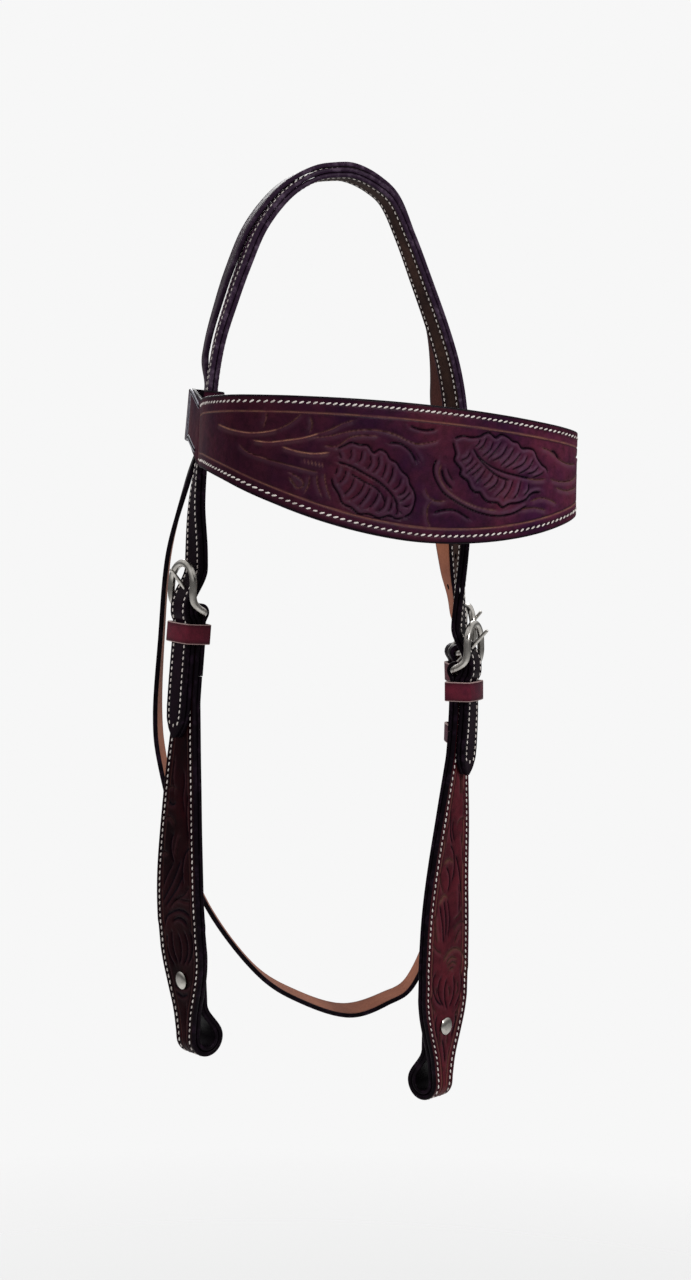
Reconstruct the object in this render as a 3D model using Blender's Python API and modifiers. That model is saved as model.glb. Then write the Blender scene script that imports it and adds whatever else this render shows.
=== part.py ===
"""Western browband headstall, hung by its crown: straps, browband, buckles, keepers and screws.

The origin is under the middle of the crown, where the crown rests on the poll. -Y is the
forehead side, +X the horse's near side (with the throatlatch buckle), +Z is up. Metres.
"""
import math

import bmesh
import bpy
from mathutils import Matrix, Vector

MM = 0.001

# Leather
STRAP_WIDTH = 16 * MM
CROWN_PLY = 2.5 * MM
THROAT_PLY = 2.6 * MM
CHEEK_PLY = 2.6 * MM
CHEEK_LINING_PLY = 2.3 * MM
BAND_PLY = 2.6 * MM
BAND_LINING_PLY = 2.0 * MM
PLY_GAP = 0.35 * MM
REST_GAP = 0.35 * MM
CROWN_SPLIT_GAP = 0.7 * MM
THROAT_SPLIT_GAP = 1.6 * MM
THROAT_END_SLANT = 0.1
THROAT_END_ROWS = 4

# The hanging shape
HALF_SPACING = 72 * MM
HANG = 500 * MM
SEAT_FLAT = 10 * MM

# Straps measured along the leather
CHEEK_LENGTH = 241 * MM
SCREW_ABOVE_END = 42 * MM
SCREW_BELOW_BAR = CHEEK_LENGTH - SCREW_ABOVE_END
TAIL_ABOVE_SCREW = 14 * MM
TURNBACK = 34 * MM
OFF_BILLET_TAIL = 68 * MM
NEAR_BILLET_TAIL = 58 * MM
THROAT_BILLET_TAIL = 64 * MM
THROAT_TURNBACK = 60 * MM
BILLET_HOLE_PITCH = 25.4 * MM
BILLET_HOLE_RADIUS = 1.7 * MM
BILLET_POINT = 16 * MM
CHEEK_TOP_WIDTH = 18 * MM
CHEEK_WIDEST = 39 * MM
BIT_FOLD_WIDTH = 16 * MM
BIT_FOLD_INSIDE = 4.9 * MM

# Buckles
WIRE_RADIUS = 2.0 * MM
FRAME_HALF_WIDTH = 11 * MM
FRAME_RISE = 26 * MM
FRAME_SET_FORWARD = 8.5 * MM
ROLL_WIDTH = 15.4 * MM
TONGUE_RADIUS = 1.15 * MM
TONGUE_LENGTH = 28 * MM
TONGUE_TILT = 43
TONGUE_SLOT = 3.6 * MM
TONGUE_PLAY = 1.4 * MM
UNDER_ARCH = -0.6 * MM

# Keepers
KEEPER_HEIGHT = 10.8 * MM
KEEPER_PLY = 1.5 * MM
KEEPER_EASE = 0.35 * MM
KEEPER_BELOW_BAR = 11.5 * MM
LOWER_KEEPER_BELOW_BAR = 47.5 * MM

# Binding screws
SCREW_HEAD_RADIUS = 4.75 * MM
SCREW_HEAD_HEIGHT = 1.5 * MM
POST_RADIUS = 2.4 * MM
POST_BORE_RADIUS = 1.65 * MM
SHANK_RADIUS = 1.3 * MM
POST_FLANGE = 1.2 * MM

# Browband
BAND_SWELL = 27.5 * MM
BAND_HALF_WIDTH = HALF_SPACING + BAND_SWELL
BAND_DEPTH = 122 * MM
BAND_TALLEST = 68 * MM
BAND_TONGUE = 28 * MM
BAND_TOP_DROP = 125.5 * MM
BAND_NEAR_DROP = 13 * MM
BAND_CREST = 3.5 * MM
LOOP_SLACK = 2.6 * MM
LOOP_LAP = 24 * MM
LOOP_CORNER = 2.4 * MM
OFF_THROAT_SHIFT = 17.5 * MM
NEAR_THROAT_SHIFT = 18 * MM
OFF_THROAT_LIFT = 1.3 * MM
POLL_REST_GAP = 0.6 * MM

# Worked out from the above
CROWN_HALF = CROWN_PLY + PLY_GAP / 2
CROWN_MIDDLE = (CROWN_PLY + PLY_GAP) / 2
THROAT_OVER_CROWN = CROWN_HALF + POLL_REST_GAP + THROAT_PLY / 2
CHEEK_FACE = (CHEEK_PLY + PLY_GAP) / 2
CHEEK_LINING = -(CHEEK_LINING_PLY + PLY_GAP) / 2
CHEEK_BACK = -PLY_GAP / 2 - CHEEK_LINING_PLY
BAR_CLEARANCE = 0.3 * MM
CUT_OVERRUN = 1 * MM
RIBBON_STEP = 6 * MM
TWIST_STEP = 2.5 * MM
BAND_REFINE = 3

# The spine runs from the bottom of the off cheek over the poll to the bottom of the near one.
# Shares: across of HALF_SPACING, back of HALF_SPACING, down of HANG, and the turn in degrees
# of the strap's rear edge from straight back towards the near side.
SPINE_SHARES = (
    ("off_end", -1.03, 0.139, 0.990, -17),
    ("off_screw", -1.075, 0.139, 0.880, -17),
    ("off_wide", -1.135, 0.142, 0.786, -17),
    ("off_cheek", -1.13, 0.144, 0.666, -17),
    ("off_tail", -1.105, 0.139, 0.570, -16),
    ("off_bar", -1.075, 0.125, 0.481, -14),
    ("off_arch", -1.08, 0.111, 0.418, -13),
    ("off_strap", -1.087, 0.083, 0.362, 2),
    ("off_flex", -1.06, 0.042, 0.3075, 15),
    ("off_loop", -1.026, 0.021, 0.280, 15),
    ("off_rise", -1.010, 0.0, 0.232, 14),
    ("off_limb_a", -0.965, 0.0, 0.190, 12),
    ("off_limb_b", -0.885, 0.0, 0.150, 9),
    ("off_limb_c", -0.79, 0.0, 0.109, 6),
    ("off_limb_d", -0.66, 0.0, 0.064, 4),
    ("off_limb_e", -0.465, 0.0, 0.027, 2),
    ("off_limb_f", -0.25, 0.0, 0.006, 0),
    ("off_seat", 0.0, 0.0, 0.0, 0),
    ("near_seat", 0.0, 0.0, 0.0, 0),
    ("near_limb_f", 0.24, 0.0, 0.009, 0),
    ("near_limb_e", 0.395, 0.0, 0.026, -2),
    ("near_limb_d", 0.535, 0.0, 0.064, -4),
    ("near_limb_c", 0.67, 0.0, 0.109, -7),
    ("near_limb_b", 0.83, 0.0, 0.165, -10),
    ("near_limb_a", 0.935, 0.0, 0.212, -13),
    ("near_rise", 0.995, 0.0, 0.262, -15),
    ("near_loop", 1.022, 0.021, 0.318, -15),
    ("near_flex", 1.042, 0.036, 0.3455, -15),
    ("near_strap", 1.062, 0.021, 0.396, -2),
    ("near_twist", 1.056, -0.021, 0.450, 23),
    ("near_arch", 1.042, -0.060, 0.498, 41),
    ("near_bar", 1.035, -0.078, 0.545, 46),
    ("near_tail", 1.036, -0.083, 0.606, 50),
    ("near_cheek", 1.0, -0.083, 0.706, 60),
    ("near_wide", 0.957, -0.083, 0.806, 64),
    ("near_screw", 0.945, -0.083, 0.946, 64),
    ("near_end", 0.943, -0.083, 1.050, 64),
)

# The throatlatch hangs from the off loop, under the throat and up to its buckle.
# Shares as above, then the lift in degrees of its rear edge.
THROAT_SHARES = (
    ("off_drop_a", -1.083, 0.340, 0.342, 15, 0),
    ("off_drop_b", -1.165, 0.514, 0.420, 20, 0),
    ("off_drop_c", -1.174, 0.632, 0.516, 22, 0),
    ("off_drop_d", -1.180, 0.667, 0.600, 28, 2),
    ("off_turn_a", -1.125, 0.680, 0.656, 28, 4),
    ("off_turn_b", -0.944, 0.72, 0.746, 18, 8),
    ("off_turn_c", -0.694, 0.76, 0.824, 8, 11),
    ("under_a", -0.278, 0.81, 0.898, 0, 12),
    ("under_b", 0.111, 0.83, 0.934, 0, 12),
    ("under_c", 0.500, 0.79, 0.952, 2, 10),
    ("near_turn_a", 0.800, 0.69, 0.938, 9, 6),
    ("near_turn_b", 1.0, 0.60, 0.913, 12, 3),
    ("near_turn_c", 1.17, 0.50, 0.83, 14, 1),
    ("near_rise_a", 1.25, 0.42, 0.706, 10, 0),
    ("near_rise_b", 1.26, 0.385, 0.606, 12, 0),
    ("bar", 1.235, 0.375, 0.530, 12, 0),
    ("arch", 1.20, 0.385, 0.474, 12, 0),
    ("strap_a", 1.135, 0.39, 0.436, 2, 0),
    ("strap_b", 1.08, 0.37, 0.390, -10, 0),
)

# How far the strap over the poll has slid back, and its height over the crown strap on the
# off side. Shares: of the way from the seat to the loop, then of the whole slide or height.
OFF_SLIDE_SHARES = ((0, 0), (0.25, 0.36), (0.5, 0.60), (0.74, 0.82), (1, 1))
NEAR_SLIDE_SHARES = ((0, 0), (0.28, 0.30), (0.60, 0.42), (0.70, 0.53), (0.80, 0.74), (0.92, 1))
OFF_LIFT_SHARES = ((0.94, 0), (1, 1))

# The browband's plan between its two folds, front half of each side.
# Shares: across of BAND_HALF_WIDTH, forward of BAND_DEPTH, and height of BAND_TALLEST.
BAND_SHARES = (
    (0.98, 0.30, 0.44),
    (1.0, 0.48, 0.49),
    (0.995, 0.66, 0.56),
    (0.94, 0.81, 0.65),
    (0.76, 0.915, 0.77),
    (0.52, 0.97, 0.89),
    (0.26, 0.994, 0.97),
    (0.0, 1.0, 1.0),
)

# Cheek width between its folds. Shares: place of CHEEK_LENGTH, and how far from the top
# width to the widest (above) or from the widest to the fold (below).
CHEEK_SWELL_SHARES = ((0.20, 0.0), (0.26, 0.18), (0.354, 0.43), (0.473, 0.69), (0.58, 0.9), (0.70, 1.0))
CHEEK_TAPER_SHARES = ((0.765, 0.04), (0.80, 0.17), (0.84, 0.42), (0.90, 0.83), (0.95, 1.0))

COLLECTION = "western_headstall"

LEATHER = ((0.060, 0.010, 0.014, 1), 0.42, 0)
LINING = ((0.030, 0.012, 0.014, 1), 0.6, 0)
FLESH = ((0.36, 0.17, 0.10, 1), 0.8, 0)
KEEPER_LEATHER = ((0.110, 0.018, 0.030, 1), 0.45, 0)
NICKEL = ((0.62, 0.60, 0.55, 1), 0.28, 1)


def clear_scene():
    """Remove every object that the file starts with."""
    for obj in list(bpy.data.objects):
        bpy.data.objects.remove(obj, do_unlink=True)


def make_collection(name):
    """Return a new collection in the scene."""
    collection = bpy.data.collections.new(name)
    bpy.context.scene.collection.children.link(collection)
    return collection


def make_material(name, look):
    """Return a Principled material of one colour."""
    colour, roughness, metallic = look
    material = bpy.data.materials.new(name)
    material.use_nodes = True
    shader = material.node_tree.nodes["Principled BSDF"]
    shader.inputs["Base Color"].default_value = colour
    shader.inputs["Roughness"].default_value = roughness
    shader.inputs["Metallic"].default_value = metallic
    return material


class Frame:
    """A place on a strap: its point, and the ways along it, outwards and to its rear edge."""

    def __init__(self, point, along, out, rear):
        self.point = point
        self.along = along
        self.out = out
        self.rear = rear

    def place(self, along=0.0, out=0.0, rear=0.0):
        """Return the world point at these distances from the frame's own."""
        return self.point + self.along * along + self.out * out + self.rear * rear

    def matrix(self):
        """Return the frame as a matrix with X to the rear, Y up the strap and Z outwards."""
        columns = Matrix((self.rear, -self.along, self.out)).transposed()
        turn = columns.to_4x4()
        return Matrix.Translation(self.point) @ turn


class Route:
    """A smooth line through named places, each with the way that the strap's rear edge faces."""

    def __init__(self, places, outward):
        self.outward = outward
        self.points = []
        self.rears = []
        self.lengths = []
        self.marks = {}
        steps = 12
        count = len(places)
        for index in range(count - 1):
            rows = [places[min(max(index + shift, 0), count - 1)] for shift in (-1, 0, 1, 2)]
            self.marks[places[index][0]] = len(self.points)
            for step in range(steps):
                share = step / steps
                self.points.append(smooth(*(row[1] for row in rows), share))
                self.rears.append(smooth(*(row[2] for row in rows), share).normalized())
        self.marks[places[-1][0]] = len(self.points)
        self.points.append(places[-1][1])
        self.rears.append(places[-1][2].normalized())
        total = 0.0
        for index, point in enumerate(self.points):
            if index:
                total += (point - self.points[index - 1]).length
            self.lengths.append(total)

    def mark(self, name):
        """Return the distance along the route of a named place."""
        return self.lengths[self.marks[name]]

    def end(self):
        """Return the length of the route."""
        return self.lengths[-1]

    def raw(self, distance):
        """Return the point and rear direction at a distance."""
        last = len(self.lengths) - 1
        for index in range(last):
            if self.lengths[index + 1] >= distance or index == last - 1:
                span = self.lengths[index + 1] - self.lengths[index]
                share = (distance - self.lengths[index]) / span if span else 0.0
                point = self.points[index].lerp(self.points[index + 1], share)
                return point, self.rears[index].lerp(self.rears[index + 1], share)

    def frame(self, distance, direction=1):
        """Return the frame there, with along pointing the given way."""
        reach = SEAT_FLAT / 4
        before = self.raw(distance - reach)[0]
        after = self.raw(distance + reach)[0]
        along = (after - before).normalized()
        point, rear = self.raw(distance)
        rear = (rear - along * rear.dot(along)).normalized()
        out = along.cross(rear) * self.outward
        return Frame(point, along * direction, out, rear)


def smooth(before, start, end, after, share):
    """Return the Catmull-Rom point between start and end."""
    linear = end - before
    square = before * 2 - start * 5 + end * 4 - after
    cube = start * 3 - before - end * 3 + after
    return start + (linear * share + square * share ** 2 + cube * share ** 3) / 2


def rear_way(turn, lift=0.0):
    """Return the direction of a rear edge turned towards the near side and lifted."""
    turn = math.radians(turn)
    lift = math.radians(lift)
    flat = math.cos(lift)
    return Vector((math.sin(turn) * flat, math.cos(turn) * flat, math.sin(lift)))


def spine_route():
    """Return the middle line of the crown and both cheeks."""
    places = []
    for name, across, back, down, turn in SPINE_SHARES:
        point = Vector((across * HALF_SPACING, back * HALF_SPACING, CROWN_HALF - down * HANG))
        if name == "off_seat":
            point.x = -SEAT_FLAT / 2
        if name == "near_seat":
            point.x = SEAT_FLAT / 2
        places.append((name, point, rear_way(turn)))
    return Route(places, 1)


def throat_route(spine):
    """Return the middle line of the hanging throatlatch, from the off loop to the near loop."""
    off_exit = spine.frame(spine.mark("off_flex"))
    near_exit = spine.frame(spine.mark("near_flex"))
    places = [("off_exit", off_exit.place(0, OFF_THROAT_LIFT, OFF_THROAT_SHIFT), off_exit.rear)]
    for name, across, back, down, turn, lift in THROAT_SHARES:
        point = Vector((across * HALF_SPACING, back * HALF_SPACING, CROWN_HALF - down * HANG))
        places.append((name, point, rear_way(turn, lift)))
    places.append(("near_exit", near_exit.place(0, THROAT_OVER_CROWN, NEAR_THROAT_SHIFT), near_exit.rear))
    return Route(places, -1)


def between(table, value, eased=False):
    """Return the value read from rising (place, value) rows, held level past both ends."""
    if value <= table[0][0]:
        return table[0][1]
    for (low, first), (high, second) in zip(table, table[1:]):
        if value <= high:
            share = (value - low) / (high - low)
            if eased:
                share = share * share * (3 - 2 * share)
            return first + (second - first) * share
    return table[-1][1]


def stops(start, end, step=RIBBON_STEP):
    """Return evenly spaced distances from start to end, about a step apart."""
    count = max(1, math.ceil(abs(end - start) / step))
    return [start + (end - start) * index / count for index in range(count + 1)]


def link_new(name, mesh, collection, material=None):
    """Return a new object in the collection."""
    obj = bpy.data.objects.new(name, mesh)
    collection.objects.link(obj)
    if material:
        mesh.materials.append(material)
    return obj


def move_origin(obj, point):
    """Put a mesh object's origin at a world point and leave its shape where it is."""
    obj.data.transform(Matrix.Translation(-point))
    obj.location = point


def ribbon(name, stations, thickness, collection, material, closed=False):
    """Return a strap: an open strip through (point, edge way, width) stations, made solid."""
    mesh = bpy.data.meshes.new(name)
    form = bmesh.new()
    rows = []
    for point, way, width in stations:
        rows.append((form.verts.new(point - way * width / 2), form.verts.new(point + way * width / 2)))
    pairs = list(zip(rows, rows[1:]))
    if closed:
        pairs.append((rows[-1], rows[0]))
    for (low, high), (next_low, next_high) in pairs:
        form.faces.new((low, high, next_high, next_low))
    form.to_mesh(mesh)
    form.free()
    obj = link_new(name, mesh, collection, material)
    solid = obj.modifiers.new("thickness", "SOLIDIFY")
    solid.thickness = thickness
    solid.offset = 0
    solid.use_even_offset = True
    return obj


def beside(rows, distance, toward):
    """Return ribbon stations moved square to their own line, to the side that the vector points to."""
    last = len(rows) - 1
    moved = []
    for index, (point, way, width) in enumerate(rows):
        along = rows[min(index + 1, last)][0] - rows[max(index - 1, 0)][0]
        out = along.cross(way).normalized()
        if out.dot(toward) < 0:
            out = -out
        moved.append((point + out * distance, way, width))
    return moved


def run(route, distances, offset, width, shift=None, direction=1):
    """Return ribbon stations along a route. Offset, width and shift are functions of distance."""
    stations = []
    for distance in distances:
        frame = route.frame(distance, direction)
        point = frame.place(0, offset(distance), shift(distance) if shift else 0)
        stations.append((point, frame.rear, width(distance)))
    return stations


def turn(frame, along, out, radius, start, end, width, steps):
    """Return ribbon stations round an arc in the plane of along and out. Angles in degrees from out."""
    stations = []
    for index in range(steps + 1):
        angle = math.radians(start + (end - start) * index / steps)
        place = frame.place(along - radius * math.sin(angle), out + radius * math.cos(angle))
        stations.append((place, frame.rear, width))
    return stations


def cylinder_cutter(name, matrix, radius_x, radius_y, depth, collection, sides=14):
    """Return a hidden cylinder along the matrix's Z axis."""
    mesh = bpy.data.meshes.new(name)
    form = bmesh.new()
    bmesh.ops.create_cone(form, cap_ends=True, segments=sides, radius1=1, radius2=1, depth=1)
    form.to_mesh(mesh)
    form.free()
    mesh.transform(Matrix.Diagonal((radius_x, radius_y, depth, 1)))
    obj = link_new(name, mesh, collection)
    obj.matrix_world = matrix
    obj.hide_render = True
    obj.display_type = "WIRE"
    return obj


def box_cutter(name, matrix, size, collection):
    """Return a hidden box of this size about the matrix's origin."""
    mesh = bpy.data.meshes.new(name)
    form = bmesh.new()
    bmesh.ops.create_cube(form, size=1)
    form.to_mesh(mesh)
    form.free()
    mesh.transform(Matrix.Diagonal((*size, 1)))
    obj = link_new(name, mesh, collection)
    obj.matrix_world = matrix
    obj.hide_render = True
    obj.display_type = "WIRE"
    return obj


def cut(obj, cutter):
    """Cut one object from another."""
    boolean = obj.modifiers.new(cutter.name, "BOOLEAN")
    boolean.operation = "DIFFERENCE"
    boolean.object = cutter


def tube(name, points, radius, collection, material, closed=False, resolution=2):
    """Return a round wire through the points."""
    curve = bpy.data.curves.new(name, "CURVE")
    curve.dimensions = "3D"
    curve.bevel_depth = radius
    curve.bevel_resolution = resolution
    curve.use_fill_caps = True
    spline = curve.splines.new("POLY")
    spline.points.add(len(points) - 1)
    for place, point in zip(spline.points, points):
        place.co = (*point, 1)
    spline.use_cyclic_u = closed
    curve.materials.append(material)
    obj = bpy.data.objects.new(name, curve)
    collection.objects.link(obj)
    return obj


def place_curve(obj, point):
    """Put a curve object's origin at a world point."""
    obj.data.transform(Matrix.Translation(-point))
    obj.location = point


def turned(name, profile, matrix, collection, material, steps=16):
    """Return a solid of revolution about the matrix's Z axis, from (radius, height) points."""
    mesh = bpy.data.meshes.new(name)
    form = bmesh.new()
    verts = [form.verts.new((radius, 0, height)) for radius, height in profile]
    for first, second in zip(verts, verts[1:]):
        form.edges.new((first, second))
    form.to_mesh(mesh)
    form.free()
    obj = link_new(name, mesh, collection, material)
    obj.matrix_world = matrix
    screw = obj.modifiers.new("turn", "SCREW")
    screw.steps = steps
    screw.render_steps = steps
    screw.use_merge_vertices = True
    screw.merge_threshold = 0.00001
    return obj


def round_corners(width, depth, radius, steps=3):
    """Return the points of a rounded rectangle about the origin."""
    points = []
    corners = ((1, 1, 0), (-1, 1, 90), (-1, -1, 180), (1, -1, 270))
    for side, end, start in corners:
        middle_x = side * (width / 2 - radius)
        middle_y = end * (depth / 2 - radius)
        for index in range(steps + 1):
            angle = math.radians(start + 90 * index / steps)
            points.append((middle_x + radius * math.cos(angle), middle_y + radius * math.sin(angle)))
    return points


class Side:
    """One buckle's strap, measured downwards from the buckle's bar."""

    def __init__(self, name, route, bar, sign, face, behind, ply):
        self.name = name
        self.route = route
        self.bar = bar
        self.sign = sign
        self.face = face
        self.behind = behind
        self.back = behind - ply / 2
        self.bar_out = (face + behind) / 2

    def distance(self, below):
        """Return the distance along the route of a place below the bar."""
        return self.bar + self.sign * below

    def frame(self, below):
        """Return the frame there, with along pointing down."""
        return self.route.frame(self.distance(below), self.sign)

    def stations(self, places, offset, width):
        """Return ribbon stations at distances below the bar. Offset and width are functions of it."""
        rows = []
        for below in places:
            frame = self.frame(below)
            rows.append((frame.place(0, offset(below)), frame.rear, width(below)))
        return rows


def roll_radius(ply):
    """Return the middle radius of a ply folded round a buckle's bar."""
    return WIRE_RADIUS + BAR_CLEARANCE + ply / 2


def make_frame(side, collection, material):
    """Return a buckle frame: a horseshoe of wire whose legs step back to the bar."""
    frame = side.frame(0)
    back = side.bar_out
    front = back + FRAME_SET_FORWARD
    half = FRAME_HALF_WIDTH
    spring = FRAME_RISE - half
    half_profile = (
        (half * 0.84, 0.0, back),
        (half, WIRE_RADIUS * 0.4, back + FRAME_SET_FORWARD * 0.16),
        (half * 1.02, WIRE_RADIUS * 1.3, back + FRAME_SET_FORWARD * 0.55),
        (half * 1.0, WIRE_RADIUS * 2.7, back + FRAME_SET_FORWARD * 0.86),
        (half, spring * 0.68, front),
    )
    outline = list(half_profile)
    arch_steps = 10
    for index in range(arch_steps + 1):
        angle = math.pi * index / arch_steps
        outline.append((half * math.cos(angle), spring + half * math.sin(angle), front))
    outline += [(-across, up, out) for across, up, out in reversed(half_profile)]
    points = [frame.place(-up, out, across) for across, up, out in outline]
    obj = tube(side.name + "_buckle_frame", points, WIRE_RADIUS, collection, material, closed=True)
    place_curve(obj, frame.place(0, back))
    return obj


def tongue_ways(side):
    """Return the bar's middle, the way the tongue points and the way across it."""
    frame = side.frame(0)
    tilt = math.radians(TONGUE_TILT)
    ahead = frame.out * math.sin(tilt) - frame.along * math.cos(tilt)
    aside = -frame.out * math.cos(tilt) - frame.along * math.sin(tilt)
    return frame.place(0, side.bar_out), ahead, aside, frame.rear


def make_tongue(side, collection, material):
    """Return a tongue: one wire hooked round the bar and straight to its tip."""
    middle, ahead, aside, _rear = tongue_ways(side)
    radius = WIRE_RADIUS + BAR_CLEARANCE + TONGUE_RADIUS
    hook_steps = 12
    points = []
    for index in range(hook_steps + 1):
        angle = math.radians(-285 + 285 * index / hook_steps)
        points.append(middle + aside * radius * math.cos(angle) + ahead * radius * math.sin(angle))
    for share in (0.35, 0.7, 1.0):
        points.append(middle + aside * radius + ahead * TONGUE_LENGTH * share)
    obj = tube(side.name + "_buckle_tongue", points, TONGUE_RADIUS, collection, material)
    place_curve(obj, middle)
    return obj


def tongue_hole(side, cutters):
    """Return the cutter of the billet hole that the tongue passes."""
    middle, ahead, aside, rear = tongue_ways(side)
    radius = WIRE_RADIUS + BAR_CLEARANCE + TONGUE_RADIUS
    turn_matrix = Matrix((rear, aside, ahead)).transposed().to_4x4()
    depth = TONGUE_LENGTH
    centre = middle + aside * radius + ahead * (depth / 2 + WIRE_RADIUS)
    matrix = Matrix.Translation(centre) @ turn_matrix
    across = TONGUE_RADIUS + BAR_CLEARANCE
    return cylinder_cutter("cut_" + side.name + "_tongue_hole", matrix, across,
                           TONGUE_RADIUS + TONGUE_PLAY, depth, cutters)


def tongue_slot(side, cutters, ply):
    """Return the cutter of the slot in the fold that the tongue's hook turns in."""
    frame = side.frame(0)
    reach = roll_radius(ply) + ply / 2 + CUT_OVERRUN
    matrix = Matrix.Translation(frame.out * side.bar_out) @ frame.matrix()
    return box_cutter("cut_" + side.name + "_tongue_slot", matrix,
                      (TONGUE_SLOT, reach * 2, reach * 2), cutters)


def make_keeper(name, side, below, front, width, collection, material):
    """Return a leather keeper round the whole stack at a distance below the bar."""
    frame = side.frame(below)
    rear_face = side.back - REST_GAP - KEEPER_EASE
    front += KEEPER_EASE
    inside = front - rear_face
    across = width + KEEPER_EASE * 2
    outline = round_corners(across + KEEPER_PLY, inside + KEEPER_PLY, KEEPER_PLY * 0.6 + REST_GAP)
    stations = []
    for aside, out in outline:
        point = frame.place(0, (front + rear_face) / 2 + out, aside)
        stations.append((point, frame.along, KEEPER_HEIGHT))
    obj = ribbon(name, stations, KEEPER_PLY, collection, material, closed=True)
    move_origin(obj, frame.place(0, (front + rear_face) / 2))
    return obj


def cheek_width(below):
    """Return the cheek's width at a distance below the bar."""
    share = below / CHEEK_LENGTH
    if share <= CHEEK_SWELL_SHARES[-1][0]:
        narrow = ROLL_WIDTH + (CHEEK_TOP_WIDTH - ROLL_WIDTH) * min(1, max(0, share / 0.05))
        return narrow + (CHEEK_WIDEST - CHEEK_TOP_WIDTH) * between(CHEEK_SWELL_SHARES, share)
    if share <= CHEEK_TAPER_SHARES[-1][0]:
        return CHEEK_WIDEST - (CHEEK_WIDEST - BIT_FOLD_WIDTH) * between(CHEEK_TAPER_SHARES, share)
    return BIT_FOLD_WIDTH


def turnback_width(below):
    """Return the width of the end that is folded behind."""
    share = min(1, max(0, below / (CHEEK_LENGTH * 0.05)))
    return ROLL_WIDTH + (CHEEK_TOP_WIDTH - ROLL_WIDTH) * share


def fold_reach(ply):
    """Return how far below the bar the two legs of a fold run parallel again."""
    return 2 * ply


def make_cheek(side, collection, cutters, leather, lining):
    """Return the cheek's tooled strap and its lining, both folded into the bit loop."""
    bar = side.frame(0)
    radius = roll_radius(CHEEK_PLY)
    start = fold_reach(CHEEK_PLY)
    fold_radius = BIT_FOLD_INSIDE + CHEEK_LINING_PLY + PLY_GAP + CHEEK_PLY / 2
    lining_radius = BIT_FOLD_INSIDE + CHEEK_LINING_PLY / 2
    fold_centre = CHEEK_LENGTH - fold_radius - CHEEK_PLY / 2
    tail_lining = CHEEK_BACK - PLY_GAP - CHEEK_LINING_PLY / 2
    tail_face = tail_lining - (CHEEK_FACE - CHEEK_LINING)
    fold = side.frame(fold_centre)
    fold_out = side.face - fold_radius
    tail_end = SCREW_BELOW_BAR - TAIL_ABOVE_SCREW

    def closing(fold_back, flat):
        table = (
            (tail_end, flat),
            (SCREW_BELOW_BAR + SCREW_HEAD_RADIUS, flat),
            (fold_centre, fold_back),
        )
        return lambda below: between(table, below)

    stations = side.stations(stops(TURNBACK, start), lambda below: side.behind, turnback_width)
    stations += turn(bar, 0, side.bar_out, radius, 180, 0, ROLL_WIDTH, 8)
    stations += side.stations(stops(start, fold_centre), lambda below: side.face, cheek_width)
    stations += turn(fold, 0, fold_out, fold_radius, 0, -180, BIT_FOLD_WIDTH, 8)[1:]
    back_leg = closing(fold_out - fold_radius, tail_face)
    stations += side.stations(stops(fold_centre, tail_end)[1:], back_leg, lambda below: BIT_FOLD_WIDTH)
    strap = ribbon(side.name + "_cheek_strap", stations, CHEEK_PLY, collection, leather)

    top = TURNBACK + PLY_GAP
    rows = side.stations(stops(top, fold_centre), lambda below: CHEEK_LINING, cheek_width)
    rows += turn(fold, 0, fold_out, lining_radius, 0, -180, BIT_FOLD_WIDTH, 8)[1:]
    lining_leg = closing(fold_out - lining_radius, tail_lining)
    rows += side.stations(stops(fold_centre, tail_end)[1:], lining_leg, lambda below: BIT_FOLD_WIDTH)
    inner = ribbon(side.name + "_cheek_lining", rows, CHEEK_LINING_PLY, collection, lining)

    cut(strap, tongue_slot(side, cutters, CHEEK_PLY))
    screw_matrix = side.frame(SCREW_BELOW_BAR).matrix()
    hole = cylinder_cutter("cut_" + side.name + "_screw_hole", screw_matrix, POST_RADIUS + BAR_CLEARANCE,
                           POST_RADIUS + BAR_CLEARANCE, HANG / 10, cutters)
    cut(strap, hole)
    cut(inner, hole)
    return strap, inner, tail_face - CHEEK_PLY / 2


def make_screw(side, back_face, collection, material):
    """Return the screw with its head on the cheek's face, and the hollow post behind it."""
    matrix = side.frame(SCREW_BELOW_BAR).matrix()
    front = side.face + CHEEK_PLY / 2 + REST_GAP
    rear = back_face - REST_GAP - PLY_GAP
    tip = rear + SCREW_HEAD_HEIGHT
    screw_profile = (
        (0, front + SCREW_HEAD_HEIGHT),
        (SCREW_HEAD_RADIUS * 0.6, front + SCREW_HEAD_HEIGHT * 0.85),
        (SCREW_HEAD_RADIUS * 0.93, front + SCREW_HEAD_HEIGHT * 0.45),
        (SCREW_HEAD_RADIUS, front),
        (SHANK_RADIUS, front),
        (SHANK_RADIUS, tip),
        (0, tip),
    )
    screw = turned(side.name + "_binding_screw", screw_profile, matrix, collection, material)
    top = front - REST_GAP
    post_profile = (
        (POST_BORE_RADIUS, top),
        (POST_RADIUS, top),
        (POST_RADIUS, rear),
        (SCREW_HEAD_RADIUS, rear),
        (SCREW_HEAD_RADIUS, rear - POST_FLANGE),
        (0, rear - POST_FLANGE),
        (0, rear + REST_GAP),
        (POST_BORE_RADIUS, rear + REST_GAP),
        (POST_BORE_RADIUS, top),
    )
    post = turned(side.name + "_screw_post", post_profile, matrix, collection, material)
    return screw, post


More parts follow.
